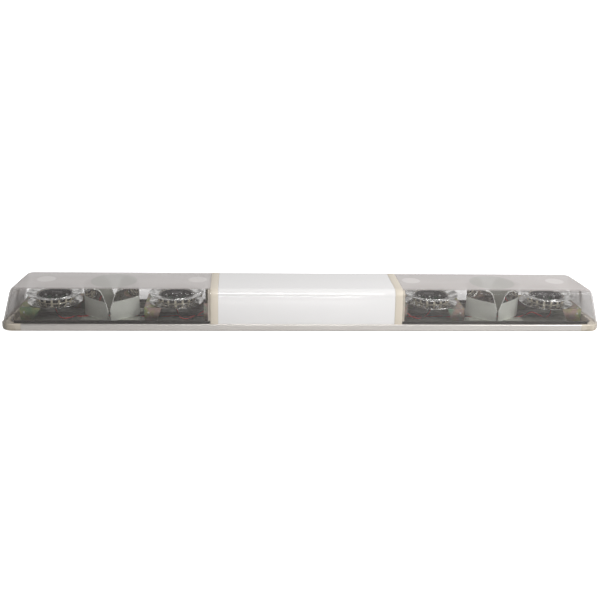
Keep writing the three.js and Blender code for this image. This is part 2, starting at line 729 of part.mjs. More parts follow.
// A flat board of rows and columns, bent to the sheet's shape.
function mirrorSheet() {
  const board = [MIRROR_COLUMNS, MIRROR_SHEET, MIRROR_ROWS];
  const geometry = new THREE.BoxGeometry(...board, MIRROR_COLUMNS, 1, MIRROR_ROWS);
  const position = geometry.getAttribute('position');
  const step = 0.01;
  for (let i = 0; i < position.count; i += 1) {
    const along = 2 * position.getX(i) / MIRROR_COLUMNS;
    const up = position.getZ(i) / MIRROR_ROWS + 0.5;
    const across = mirrorPoint(along + step, up).sub(mirrorPoint(along - step, up));
    const rise = mirrorPoint(along, up + step).sub(mirrorPoint(along, up - step));
    const normal = across.cross(rise).normalize();
    const middle = mirrorPoint(along, up);
    const point = middle.clone().addScaledVector(normal, -position.getY(i));
    position.setXYZ(i, point.x, point.y, up === 0 ? middle.z : point.z);
  }
  return solid(geometry);
}

function mirrorHalf() {
  let body = mirrorSheet();
  for (const flip of [-1, 1]) {
    const near = flip * (RAIL_INSIDE + 2);
    const far = flip * RAIL_OUTSIDE;
    const foot = [Math.min(near, far), Math.max(near, far)];
    const reach = [12, MIRROR_SPREAD + 5];
    body = body.add(block(reach, foot, [RAIL_HEIGHT + TOUCH, RAIL_HEIGHT + TOUCH + SHEET]));
  }
  return body;
}

// ---- Centre section ----

function ledTray() {
  const half = TRAY_DEPTH / 2;
  const z0 = RAIL_HEIGHT + TOUCH;
  const section = outline([
    [-half, z0], [half, z0], [half, z0 + TRAY_WALL], [half - SHEET, z0 + TRAY_WALL],
    [half - SHEET, z0 + SHEET], [SHEET - half, z0 + SHEET], [SHEET - half, z0 + TRAY_WALL],
    [-half, z0 + TRAY_WALL],
  ]);
  return alongX(section, -TRAY_LENGTH / 2, TRAY_LENGTH / 2);
}

function signBoard(side) {
  const z0 = RAIL_HEIGHT + 2 * TOUCH + SHEET;
  const middle = side * RAIL_MIDDLE;
  const half = BOARD_LENGTH / 2;
  let body = block([-half, half], [middle - BOARD_WIDTH / 2, middle + BOARD_WIDTH / 2], [z0, z0 + 1.6]);
  const count = Math.floor(BOARD_LENGTH / 35);
  for (let led = 0; led < count; led += 1) {
    const x = (led - (count - 1) / 2) * 35;
    body = body.add(block([x - 2.5, x + 2.5], [middle - 2.5, middle + 2.5], [z0 + 1, z0 + 3]));
  }
  return body;
}

function controlBox() {
  const half = CONTROL_LENGTH / 2;
  const base = block([-half, half], [-CONTROL_WIDTH / 2, CONTROL_WIDTH / 2],
    [BASE_SKIN + TOUCH, RAIL_HEIGHT - 3]);
  const lid = block([4 - half, half - 4], [3 - CONTROL_WIDTH / 2, CONTROL_WIDTH / 2 - 3],
    [BASE_SKIN + 1, RAIL_HEIGHT - TOUCH]);
  return base.add(lid);
}

// ---- Assembly ----

const CREAM = [0xe6dcc6, 0.45, 0];
const CLEAR = [0xe9e0de, 0.06, 0];
const lightBar = new THREE.Group();

lightBar.add(part('base_extrusion', baseExtrusion(), 0xc9c6c0, 0.35, 0.9));
lightBar.add(part('front_gasket', gasket(-1), 0x2b2a28, 0.8, 0));
lightBar.add(part('rear_gasket', gasket(1), 0x2b2a28, 0.8, 0));
lightBar.add(part('supply_grommet', supplyGrommet(), 0x1e1e1e, 0.8, 0));
lightBar.add(part('centre_lens', centreLens(), 0xf4f2ef, 0.15, 0));
lightBar.add(part('led_tray', ledTray(), 0xf2f2f0, 0.5, 0.1));
lightBar.add(part('sign_led_board_front', signBoard(-1), 0xe8e8e2, 0.5, 0));
lightBar.add(part('sign_led_board_rear', signBoard(1), 0xe8e8e2, 0.5, 0));
lightBar.add(part('control_box', controlBox(), 0x22252a, 0.6, 0));

const sharedCap = endCap();
const sharedDome = dome();
const sharedBand = joinerBand();
const sharedBulkhead = bulkhead();
const sharedMirror = mirrorHalf();
for (const [hand, side] of [['left', -1], ['right', 1]]) {
  lightBar.add(part(`end_cap_${hand}`, handed(sharedCap, side), ...CREAM));
  lightBar.add(part(`dome_${hand}`, handed(sharedDome, side), ...CLEAR));
  lightBar.add(part(`joiner_band_${hand}`, handed(sharedBand, side), ...CREAM));
  lightBar.add(part(`bulkhead_${hand}`, handed(sharedBulkhead, side), ...ZINC));
  screwPlaces().forEach((place, index) => {
    const end = ['front', 'rear'][index];
    lightBar.add(part(`cap_screw_${hand}_${end}`, handed(capScrew(place), side), 0xb8b8b8, 0.3, 1));
  });
  const pair = new THREE.Group();
  pair.add(part(`mirror_${hand}_outer`, handed(sharedMirror, side), ...CHROME));
  pair.add(part(`mirror_${hand}_inner`, handed(sharedMirror, -side), ...CHROME));
  pair.position.set(side * MIRROR_CENTRE, 0, 0);
  lightBar.add(pair);
}

[-OUTER_MODULE, -INNER_MODULE, INNER_MODULE, OUTER_MODULE].forEach((x, index) => {
  const number = index + 1;
  lightBar.add(lightModule(number, x));
  lightBar.add(part(`module_${number}_lead`, lead(LEADS[number]), 0x9c1a14, 0.5, 0));
});

export default lightBar;
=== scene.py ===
import math

import bmesh
import bpy
from mathutils import Matrix, Vector


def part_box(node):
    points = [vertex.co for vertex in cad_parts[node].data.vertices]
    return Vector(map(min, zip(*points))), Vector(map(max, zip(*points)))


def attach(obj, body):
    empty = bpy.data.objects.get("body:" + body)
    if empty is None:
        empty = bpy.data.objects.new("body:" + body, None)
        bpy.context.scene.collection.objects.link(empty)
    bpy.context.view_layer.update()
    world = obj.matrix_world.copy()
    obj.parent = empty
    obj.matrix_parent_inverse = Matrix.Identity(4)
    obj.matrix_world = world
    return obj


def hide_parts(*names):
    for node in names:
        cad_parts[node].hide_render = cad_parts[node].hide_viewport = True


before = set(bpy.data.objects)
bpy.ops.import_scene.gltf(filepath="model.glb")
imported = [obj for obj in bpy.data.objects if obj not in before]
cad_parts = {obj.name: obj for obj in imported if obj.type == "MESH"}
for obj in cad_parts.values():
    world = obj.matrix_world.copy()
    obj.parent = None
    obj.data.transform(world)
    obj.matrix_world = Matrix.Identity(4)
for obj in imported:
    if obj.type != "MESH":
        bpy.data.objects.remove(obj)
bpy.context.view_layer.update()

MM = 0.001
TAU = 2 * math.pi

# ---- Sizes, from the frame where it holds them ----

BASE_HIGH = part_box("base_extrusion")[1]
CAP_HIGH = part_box("end_cap_right")[1]
DOME_LOW, DOME_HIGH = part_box("dome_right")
COVER_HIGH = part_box("centre_lens")[1]

HALF_LENGTH = CAP_HIGH.x
HALF_DEPTH = BASE_HIGH.y
BASE_END = BASE_HIGH.x
LIP_TOP = BASE_HIGH.z
LENS_BOTTOM = DOME_LOW.z
LENS_TOP = DOME_HIGH.z
LENS_HALF_DEPTH = DOME_HIGH.y
TOUCH = 0.3 * MM
END_SWEEP = 0.1
CAP_CORNER = 26 * MM
CAP_PLAIN = 14 * MM
CAP_WALL = 15 * MM
BASE_SKIN = 3 * MM
LIP_WIDTH = 15 * MM
LIP_ROUND = 2.5 * MM
KEEL_ROUND = 9 * MM
SHOULDER = 19 * MM
LENS_LEAN = 8.5 * MM
LENS_WALL = 3 * MM
LENS_END_INSET = 3 * MM
LENS_HALF_LENGTH = HALF_LENGTH - LENS_END_INSET
LENS_CORNER = 14 * MM
END_RAKE = 23 * MM
END_ROUND = 7 * MM
BAND_INSIDE = COVER_HIGH.x + TOUCH
BAND_OUTSIDE = DOME_LOW.x - TOUCH
BAND_PROUD = 0.4 * MM
RAIL_MIDDLE = 32 * MM
RAIL_HALF = 14 * MM
RAIL_TOP = 13 * MM
SLOT_HALF = 4.5 * MM
CAVITY_HALF = 10 * MM

SIDES = (("left", -1), ("right", 1))
MODULES = (1, 2, 3, 4)


# ---- Materials ----

class Socket:
    """A shader socket or a number, with the arithmetic that the materials use."""

    def __init__(self, tree, value):
        self.tree = tree
        self.value = value

    def maths(self, operation, *others):
        values = [other.value if isinstance(other, Socket) else other for other in others]
        node = self.tree.nodes.new("ShaderNodeMath")
        node.operation = operation
        for socket, value in zip(node.inputs, [self.value, *values]):
            join(self.tree, value, socket)
        return Socket(self.tree, node.outputs[0])

    def __add__(self, other):
        return self.maths("ADD", other)

    def __sub__(self, other):
        return self.maths("SUBTRACT", other)

    def __mul__(self, other):
        return self.maths("MULTIPLY", other)

    def __rsub__(self, other):
        return Socket(self.tree, other).maths("SUBTRACT", self)

    __radd__ = __add__
    __rmul__ = __mul__

    def clamped(self):
        return self.maths("MAXIMUM", 0.0).maths("MINIMUM", 1.0)


def join(tree, value, socket):
    if isinstance(value, Socket):
        value = value.value
    if isinstance(value, bpy.types.NodeSocket):
        tree.links.new(value, socket)
    else:
        socket.default_value = value


class Finish:
    """One material: its nodes, its shader and its Object coordinates."""

    def __init__(self, name, colour=(0.8, 0.8, 0.8), **settings):
        self.material = bpy.data.materials.new(name)
        self.material.use_nodes = True
        self.tree = self.material.node_tree
        self.shader = self.tree.nodes["Principled BSDF"]
        self.set("Base Color", (*colour, 1))
        for socket, value in settings.items():
            self.set(socket.replace("_", " "), value)

    def set(self, socket, value):
        join(self.tree, value, self.shader.inputs[socket])

    def node(self, kind, settings=None, output=0, **inputs):
        made = self.tree.nodes.new("ShaderNode" + kind)
        for name, value in (settings or {}).items():
            setattr(made, name, value)
        for name, value in inputs.items():
            join(self.tree, value, made.inputs[name.replace("_", " ")])
        return Socket(self.tree, made.outputs[output])

    def place(self, scale=(1, 1, 1)):
        point = self.node("TexCoord", output=3)
        return self.node("Mapping", Vector=point, Scale=scale)

    def noise(self, scale, stretch=(1, 1, 1), detail=3.0, roughness=0.5):
        point = self.place(stretch)
        return self.node("TexNoise", Vector=point, Scale=scale, Detail=detail, Roughness=roughness)

    def along(self, axis):
        parts = self.tree.nodes.new("ShaderNodeSeparateXYZ")
        join(self.tree, self.node("TexCoord", output=3), parts.inputs[0])
        return Socket(self.tree, parts.outputs[axis])

    def mixed(self, mask, first, second):
        made = self.tree.nodes.new("ShaderNodeMix")
        made.data_type = "RGBA"
        join(self.tree, mask, made.inputs[0])
        for socket, colour in ((made.inputs[6], first), (made.inputs[7], second)):
            join(self.tree, (*colour, 1) if isinstance(colour, tuple) else colour, socket)
        return Socket(self.tree, made.outputs[2])

    def ramp(self, value, *stops):
        made = self.tree.nodes.new("ShaderNodeValToRGB")
        elements = made.color_ramp.elements
        while len(elements) < len(stops):
            elements.new(0.5)
        for element, (position, colour) in zip(elements, stops):
            element.position = position
            element.color = (*colour, 1)
        join(self.tree, value, made.inputs[0])
        return Socket(self.tree, made.outputs[0])

    def bump(self, height, strength, distance):
        self.set("Normal", self.node("Bump", Height=height, Strength=strength, Distance=distance))


def extruded_aluminium():
    finish = Finish("extruded_aluminium", Metallic=0.85)
    lines = finish.noise(260, (0.02, 1, 1))
    cloud = finish.noise(9, (0.4, 1, 1))
    finish.set("Base Color", finish.mixed(cloud, (0.68, 0.645, 0.61), (0.80, 0.765, 0.73)))
    finish.set("Roughness", 0.3 + 0.16 * lines)
    finish.bump(lines, 0.25, 0.0002)
    return finish.material


def painted_shade_aluminium():
    finish = Finish("painted_shade_aluminium", Metallic=0.5)
    lines = finish.noise(220, (0.02, 1, 1))
    cloud = finish.noise(7, (0.3, 1, 1))
    # Painted shade: far darker than the outside aluminium, standing in for the shade inside the domes.
    finish.set("Base Color", finish.mixed(cloud, (0.12, 0.125, 0.105), (0.25, 0.255, 0.22)))
    finish.set("Roughness", 0.32 + 0.2 * lines)
    finish.bump(lines, 0.25, 0.0002)
    return finish.material


def cream_plastic():
    finish = Finish("cream_plastic", IOR=1.5)
    cloud = finish.noise(14)
    grain = finish.noise(1400, detail=2.0)
    finish.set("Base Color", finish.mixed(cloud, (0.58, 0.52, 0.43), (0.66, 0.60, 0.51)))
    finish.set("Roughness", 0.34 + 0.14 * grain)
    finish.bump(grain, 0.3, 0.00015)
    return finish.material


def clear_polycarbonate():
    finish = Finish("clear_polycarbonate", Roughness=0.06, IOR=1.58)
    grazing = finish.node("LayerWeight", {}, output=1, Blend=0.5)
    steep = ((grazing - 0.3) * 2.8).clamped()
    wisps = finish.noise(11, (0.3, 1, 1))
    rear = ((finish.along(1) - 0.078) * 120).clamped()
    finish.set("Alpha", (0.06 + 0.68 * steep * steep + 0.05 * wisps + 0.42 * rear).clamped())
    haze_and_painted_light = finish.mixed(wisps, (0.44, 0.405, 0.39), (0.54, 0.505, 0.49))
    # Painted shade and light on the haze: a dark disc over each mirror pair and light discs either side of
    # it stand in for the internals seen through the top.
    for place_x, place_y, radius, colour in (
        (0.480, -0.008, 0.059, (0.41, 0.40, 0.375)),
        (0.649, 0.005, 0.025, (0.63, 0.59, 0.575)),
        (0.2725, 0.005, 0.025, (0.63, 0.59, 0.575)),
    ):
        across = finish.along(0).maths("ABSOLUTE") - place_x
        back = finish.along(1) - place_y
        far = (across * across + back * back).maths("SQRT")
        haze_and_painted_light = finish.mixed(((radius - far) * 250).clamped() * 0.8, haze_and_painted_light, colour)
    finish.set("Base Color", haze_and_painted_light)
    flow = finish.noise(30, (0.5, 1, 1), detail=1.0)
    finish.bump(flow, 0.06, 0.001)
    return finish.material


def opal_acrylic():
    finish = Finish("opal_acrylic", Roughness=0.1, IOR=1.49, Coat_Weight=0.35, Coat_Roughness=0.04)
    cloud = finish.noise(5, (0.4, 1, 1), detail=1.0)
    finish.set("Base Color", finish.mixed(cloud, (0.72, 0.705, 0.70), (0.77, 0.76, 0.755)))
    finish.bump(finish.noise(26, (0.4, 1, 1), detail=1.0), 0.04, 0.001)
    return finish.material


def seal_rubber():
    finish = Finish("seal_rubber", Specular_IOR_Level=0.35)
    grain = finish.noise(700)
    dust = finish.noise(22, (0.3, 1, 1))
    finish.set("Base Color", finish.mixed(dust, (0.022, 0.021, 0.02), (0.07, 0.066, 0.06)))
    finish.set("Roughness", 0.55 + 0.25 * grain)
    finish.bump(grain, 0.4, 0.0002)
    return finish.material


def bright_chrome():
    finish = Finish("bright_chrome", Metallic=1.0)
    # Painted reflections: noise patches switch the chrome's colour between dark and bright, and the same
    # patches vary its roughness.
    haze_and_painted_light = ((finish.noise(55, detail=1.0) - 0.4) * 5).clamped()
    finish.set("Base Color", finish.mixed(haze_and_painted_light, (0.30, 0.30, 0.29), (0.92, 0.92, 0.90)))
    finish.set("Roughness", 0.05 + 0.09 * haze_and_painted_light)
    finish.bump(finish.noise(70, detail=1.0), 0.55, 0.004)
    return finish.material


def polished_sheet():
    """Polished above; where the sheet stands beside the brackets, a rougher grey-green with a painted
    reflection of the brackets and floor.
    """
    finish = Finish("polished_sheet")
    smear = finish.noise(40, (1, 1, 0.3))
    bright = ((finish.along(2) - 0.063) * 300).clamped()
    # Painted reflection: the lower band's grey-green stands in for the brackets and floor mirrored in the
    # sheet.
    painted_bracket_reflection = finish.mixed(smear, (0.74, 0.76, 0.69), (0.88, 0.90, 0.83))
    finish.set("Base Color", finish.mixed(bright, painted_bracket_reflection, (0.80, 0.80, 0.78)))
    finish.set("Metallic", 0.35 + 0.65 * bright)
    finish.set("Roughness", 0.36 - 0.32 * bright + 0.06 * smear)
    finish.bump(finish.noise(16, detail=1.0), 0.2, 0.003)
    return finish.material


def bright_hem():
    finish = Finish("bright_hem", Metallic=0.7)
    wear = finish.noise(80)
    finish.set("Base Color", finish.mixed(wear, (0.74, 0.74, 0.70), (0.92, 0.92, 0.88)))
    finish.set("Roughness", 0.18 + 0.2 * wear)
    return finish.material


def mill_sheet():
    finish = Finish("mill_sheet", Metallic=0.55)
    cloud = finish.noise(35, (1, 1, 0.4))
    finish.set("Base Color", finish.mixed(cloud, (0.30, 0.31, 0.27), (0.46, 0.46, 0.41)))
    finish.set("Roughness", 0.42 + 0.2 * cloud)
    return finish.material


def yellow_zinc():
    finish = Finish("yellow_zinc", Metallic=0.9)
    bloom = finish.noise(26, detail=2.0)
    finish.set("Base Color", finish.ramp(
        bloom,
        (0.30, (0.13, 0.22, 0.12)),
        (0.44, (0.34, 0.34, 0.16)),
        (0.56, (0.38, 0.26, 0.23)),
        (0.70, (0.20, 0.31, 0.23)),
    ))
    grain = finish.noise(420)
    finish.set("Roughness", 0.24 + 0.2 * grain)
    finish.bump(grain, 0.15, 0.0002)
    return finish.material


def ivory_plastic():
    finish = Finish("ivory_plastic", IOR=1.5)
    cloud = finish.noise(60)
    finish.set("Base Color", finish.mixed(cloud, (0.74, 0.66, 0.50), (0.84, 0.78, 0.64)))
    finish.set("Roughness", 0.25 + 0.15 * cloud)
    return finish.material


def dark_board():
    finish = Finish("dark_board", IOR=1.5)
    cloud = finish.noise(90)
    finish.set("Base Color", finish.mixed(cloud, (0.012, 0.013, 0.015), (0.035, 0.036, 0.04)))
    finish.set("Roughness", 0.2 + 0.2 * cloud)
    return finish.material


def green_board():
    finish = Finish("green_board", IOR=1.5, Coat_Weight=0.3, Coat_Roughness=0.2)
    tracks = finish.noise(320, detail=1.0).maths("GREATER_THAN", 0.52)
    finish.set("Base Color", finish.mixed(tracks, (0.008, 0.03, 0.018), (0.015, 0.055, 0.03)))
    finish.set("Roughness", 0.3 + 0.1 * tracks)
    finish.bump(tracks, 0.3, 0.0001)
    return finish.material


def white_board():
    finish = Finish("white_board", IOR=1.5, Coat_Weight=0.3, Coat_Roughness=0.2)
    tracks = finish.noise(210, (0.3, 1, 1), detail=1.0).maths("GREATER_THAN", 0.5)
    finish.set("Base Color", finish.mixed(tracks, (0.74, 0.74, 0.70), (0.80, 0.80, 0.77)))
    finish.set("Roughness", 0.3 + 0.15 * tracks)
    finish.bump(tracks, 0.3, 0.0001)
    return finish.material


def white_powder():
    finish = Finish("white_powder", IOR=1.5)
    peel = finish.noise(900, detail=1.0)
    finish.set("Base Color", finish.mixed(finish.noise(12), (0.74, 0.74, 0.72), (0.80, 0.80, 0.78)))
    finish.set("Roughness", 0.35 + 0.15 * peel)
    finish.bump(peel, 0.3, 0.0002)
    return finish.material


def black_moulding():
    finish = Finish("black_moulding", IOR=1.5)
    grain = finish.noise(1200)
    finish.set("Base Color", finish.mixed(finish.noise(30), (0.015, 0.015, 0.017), (0.035, 0.035, 0.038)))
    finish.set("Roughness", 0.4 + 0.25 * grain)
    finish.bump(grain, 0.4, 0.0002)
    return finish.material


def wire_sleeve(name, dark, light):
    finish = Finish(name, IOR=1.5)
    streak = finish.noise(300)
    finish.set("Base Color", finish.mixed(streak, dark, light))
    finish.set("Roughness", 0.3 + 0.2 * streak)
    return finish.material


def machine_steel():
    finish = Finish("machine_steel", Metallic=1.0)
    grain = finish.noise(900)
    finish.set("Base Color", finish.mixed(grain, (0.50, 0.50, 0.49), (0.68, 0.68, 0.67)))
    finish.set("Roughness", 0.2 + 0.2 * grain)
    finish.bump(grain, 0.2, 0.0001)
    return finish.material


def lamp_optic():
    finish = Finish("lamp_optic", IOR=1.5, Coat_Weight=0.6, Coat_Roughness=0.05)
    spot = finish.noise(500)
    finish.set("Base Color", finish.mixed(spot, (0.06, 0.06, 0.065), (0.20, 0.20, 0.19)))
    finish.set("Roughness", 0.1 + 0.1 * spot)
    return finish.material


ALUMINIUM = extruded_aluminium()
PAINTED_SHADE = painted_shade_aluminium()
CREAM = cream_plastic()
CLEAR = clear_polycarbonate()
OPAL = opal_acrylic()
RUBBER = seal_rubber()
CHROME = bright_chrome()
POLISHED = polished_sheet()
HEM = bright_hem()
MILL = mill_sheet()
ZINC = yellow_zinc()
IVORY = ivory_plastic()
DARK = dark_board()
GREEN = green_board()
WHITE = white_board()
POWDER = white_powder()
BLACK = black_moulding()
RED_SLEEVE = wire_sleeve("red_sleeve", (0.42, 0.015, 0.01), (0.60, 0.03, 0.02))
BLACK_SLEEVE = wire_sleeve("black_sleeve", (0.012, 0.012, 0.012), (0.03, 0.03, 0.03))
STEEL = machine_steel()
OPTIC = lamp_optic()


# ---- Mesh helpers ----

MERGE = 0.001 * MM


def finished(name, work, materials, body="base", replaces=(), sharp=35):
    """Makes the piece's object, hangs it on its body's empty, and hides the CAD nodes that it replaces."""
    bmesh.ops.recalc_face_normals(work, faces=work.faces)
    mesh = bpy.data.meshes.new(name)
    work.to_mesh(mesh)
    work.free()
    mesh.shade_smooth()
    mesh.set_sharp_from_angle(angle=math.radians(sharp))
    piece = bpy.data.objects.new(name, mesh)
    bpy.context.scene.collection.objects.link(piece)
    for material in materials:
        mesh.materials.append(material)
    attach(piece, body)
    if replaces:
        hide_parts(*replaces)


def closed_line(work, points):
    corners = [work.verts.new(point) for point in points]
    edges = [work.edges.new(pair) for pair in zip(corners, corners[1:] + corners[:1])]
    return corners, edges


def arc(middle, radius, start, end, steps):
    """Points of an arc in a plane, its angles in quarter turns."""
    angles = [(start + (end - start) * step / steps) * TAU / 4 for step in range(steps + 1)]
    return [(middle[0] + radius * math.cos(a), middle[1] + radius * math.sin(a)) for a in angles]


def along_x(work, section, x0, x1):
    """A closed section of (y, z) points run along X, with its ends closed."""
    face = work.faces.new([work.verts.new((x0, y, z)) for y, z in section])
    run = bmesh.ops.extrude_face_region(work, geom=[face])
    moved = [item for item in run["geom"] if isinstance(item, bmesh.types.BMVert)]
    bmesh.ops.translate(work, verts=moved, vec=(x1 - x0, 0, 0))


def absorbed(work, other, turn=None, material=0):
    """Adds another mesh to this one, turned by a matrix if one is given, and frees it."""
    if turn:
        bmesh.ops.transform(other, matrix=turn, verts=other.verts)
    for face in other.faces:
        face.material_index = material
    mesh = bpy.data.meshes.new("passing")
    other.to_mesh(mesh)
    other.free()
    work.from_mesh(mesh)
    bpy.data.meshes.remove(mesh)


def lathed(work, section, steps=96, turn=None, material=0):
    """A closed section of (radius, height) points turned about the vertical."""
    turned = bmesh.new()
    corners, edges = closed_line(turned, [(r, 0, z) for r, z in section])
    bmesh.ops.spin(
        turned, geom=corners + edges, cent=(0, 0, 0), axis=(0, 0, 1), angle=TAU, steps=steps,
        use_merge=True,
    )
    bmesh.ops.remove_doubles(turned, verts=turned.verts, dist=MERGE)
    bmesh.ops.delete(turned, geom=[edge for edge in turned.edges if edge.is_wire], context="EDGES")
    absorbed(work, turned, turn, material)


def slab(work, low, high, round_edge=0.0, turn=None, segments=2, material=0):
    """A block with rounded edges between two corners, turned by a matrix if one is given."""
    low, high = Vector(low), Vector(high)
    place = Matrix.Translation((low + high) / 2) @ Matrix.Diagonal((*(high - low), 1))
    block = bmesh.new()
    bmesh.ops.create_cube(block, size=1, matrix=place)
    if round_edge:
        bmesh.ops.bevel(
            block, geom=block.edges, offset=round_edge, offset_type="OFFSET", segments=segments,
            profile=0.5, affect="EDGES", material=-1,
        )
    absorbed(work, block, turn, material)


def pan_screw(work, place, radius, turn=Matrix(), steps=24, material=0):
    """A pan head with a round socket, standing on a point and facing up before it is turned."""
    socket = 0.42 * radius
    section = [
        (0, 0.35 * radius), (socket, 0.35 * radius), (socket, 0.62 * radius),
        *arc((0.55 * radius, 0.17 * radius), 0.45 * radius, 1, 0, 4), (radius, 0), (0, 0),
    ]
    lathed(work, section, steps, Matrix.Translation(place) @ turn, material)


def sweep(y):
    return END_SWEEP * (y + HALF_DEPTH - CAP_CORNER)


def plan_outline(half_x, half_y, radius, steps, side_steps=1):
    """A rounded rectangle of (x, y) points, with its two short sides divided."""
    corners = (
        (half_x - radius, half_y - radius, 0), (radius - half_x, half_y - radius, 1),
        (radius - half_x, radius - half_y, 2), (half_x - radius, radius - half_y, 3),
    )
    points = []
    for x, y, quarter in corners:
        points += arc((x, y), radius, quarter, quarter + 1, steps)
        if quarter % 2:
            length = 2 * (half_y - radius)
            side = 1 if quarter == 3 else -1
            for step in range(1, side_steps):
                points.append((side * half_x, side * (step / side_steps - 0.5) * length))
    return points


def open_edges(work):
    return [edge for edge in work.edges if len(edge.link_faces) == 1]


def stacked(work, plan, levels):
    """A plan outline raised through levels of (z, inset x, inset y), closed at the last one."""
    verts, ring = closed_line(work, [(x, y, 0) for x, y in plan])
    for index, (z, inset_x, inset_y) in enumerate(levels):
        if index:
            grown = bmesh.ops.extrude_edge_only(work, edges=ring)["geom"]
            ring = [item for item in grown if isinstance(item, bmesh.types.BMEdge)
                    and len(item.link_faces) == 1 and all(vert not in verts for vert in item.verts)]
            verts = [item for item in grown if isinstance(item, bmesh.types.BMVert)]
        for vert, (x, y) in zip(verts, plan):
            placed_y = y - math.copysign(inset_y, y)
            placed_x = x - math.copysign(inset_x + sweep(placed_y), x)
            vert.co = (placed_x, placed_y, z)
    bmesh.ops.contextual_create(work, geom=ring)


def cut_at(work, x, keep):
    """Keeps one side of x: keep is 1 for what lies beyond it, -1 for what lies before it."""
    everything = [*work.verts, *work.edges, *work.faces]
    bmesh.ops.bisect_plane(
        work, geom=everything, plane_co=(x, 0, 0), plane_no=(keep, 0, 0), clear_inner=True,
        dist=MERGE / 10,
    )


# ---- Lenses, bands and their shared section ----

WALL_STEPS = 8
SHOULDER_STEPS = 14
SPRINGING = LENS_TOP - SHOULDER
FLUTES = 22
FLUTE_DEPTH = 1.1 * MM
SCREW_FROM_END = 25 * MM
SCREW_SIDE = 65 * MM
BOSS_RADIUS = 4 * MM
BOSS_HOLE = 2.3 * MM
BOSS_LOW = LIP_TOP - 11 * MM
BOSS_TOP = LENS_BOTTOM + 22.5 * MM
TONGUE_REACH = 6 * MM
TONGUE_WALL = 2.5 * MM
BAND_EDGE = 0.35 * MM


def lens_levels(depth):
    """Levels of the lens's skin, drawn in from the outer face by depth."""
    top = LENS_TOP - depth
    shoulder = SHOULDER - depth
    end_round = max(1 * MM, END_ROUND - depth)
    wall = SPRINGING - LENS_BOTTOM
    heights = [LENS_BOTTOM + wall * step / WALL_STEPS for step in range(WALL_STEPS + 1)]
    heights += [
        SPRINGING + shoulder * math.sin(step / SHOULDER_STEPS * TAU / 4)
        for step in range(1, SHOULDER_STEPS + 1)
    ]
    levels = []
    for z in heights:
        lean = LENS_LEAN * min(1, (z - LENS_BOTTOM) / wall)
        rise = max(0, (z - SPRINGING) / shoulder)
        across = lean + shoulder * (1 - math.sqrt(max(0, 1 - rise * rise)))
        rake = END_RAKE * (z - LENS_BOTTOM) / (LENS_TOP - LENS_BOTTOM)
        turn = max(0, (z - top + end_round) / end_round)
        levels.append((z, rake + end_round * (1 - math.sqrt(max(0, 1 - turn * turn))), across))
    return levels


def fluted(skin, depth, flute):
    """Draws the end wall in, between its foot and its shoulder, in upright waves."""
    low, high = LENS_BOTTOM + 4 * MM, SPRINGING + 6 * MM
    for vert in skin.verts:
        from_end = LENS_HALF_LENGTH - depth - sweep(vert.co.y) - vert.co.x
        reach = END_RAKE * (vert.co.z - LENS_BOTTOM) / (LENS_TOP - LENS_BOTTOM)
        if from_end < reach + 1 * MM and low < vert.co.z < high:
            wave = math.cos(vert.co.y / (LENS_HALF_DEPTH - LENS_CORNER) * FLUTES * TAU / 2)
            vert.co.x += flute * (wave - 1) / 2


def lens_skin(depth, x0, x1, flute=0.0):
    """One skin of the lens between two places along the bar, with flutes on its outer end wall."""
    skin = bmesh.new()
    radius = LENS_CORNER - depth / 2
    plan = plan_outline(LENS_HALF_LENGTH - depth, LENS_HALF_DEPTH - depth, radius, 8, 4 * FLUTES)
    stacked(skin, plan, lens_levels(depth))
    cut_at(skin, x0, 1)
    cut_at(skin, x1, -1)
    if flute:
        fluted(skin, depth, flute)
    return skin


def shell(outer, inner):
    """Two open skins joined round their rims as one closed shell."""
    work = bmesh.new()
    absorbed(work, outer)
    absorbed(work, inner)
    bmesh.ops.bridge_loops(work, edges=open_edges(work))
    return work


def lens_shell(x0, x1, outer=0.0, inner=LENS_WALL, flute=0.0):
    return shell(lens_skin(outer, x0, x1), lens_skin(inner, x0, x1, flute))


def screw_places():
    return [(HALF_LENGTH - SCREW_FROM_END - sweep(y), y) for y in (-SCREW_SIDE, SCREW_SIDE)]


def mirrored(work):
    bmesh.ops.scale(work, vec=(-1, 1, 1), verts=work.verts)
    bmesh.ops.reverse_faces(work, faces=work.faces)


def clear_domes():
    """Clear shells with a fluted end, on two screw bosses each."""
    boss = [
        (BOSS_HOLE, BOSS_LOW), (BOSS_RADIUS - 0.3 * MM, BOSS_LOW), (BOSS_RADIUS, BOSS_TOP - 1 * MM),
        (BOSS_RADIUS - 0.6 * MM, BOSS_TOP), (0, BOSS_TOP), (0, BOSS_TOP - 3 * MM),
        (BOSS_HOLE, BOSS_TOP - 4 * MM),
    ]
    for hand, side in SIDES:
        work = lens_shell(BAND_OUTSIDE + TOUCH, HALF_LENGTH, flute=FLUTE_DEPTH)
        for x, y in screw_places():
            lathed(work, boss, 32, Matrix.Translation((x, y, 0)))
        if side < 0:
            mirrored(work)
        finished(f"clear_dome_{hand}", work, [CLEAR], f"{hand}_dome", [f"dome_{hand}"], 40)


def opal_cover():
    work = lens_shell(-BAND_INSIDE + TOUCH, BAND_INSIDE - TOUCH)
    finished("opal_cover", work, [OPAL], "centre_cover", ["centre_lens"], 40)


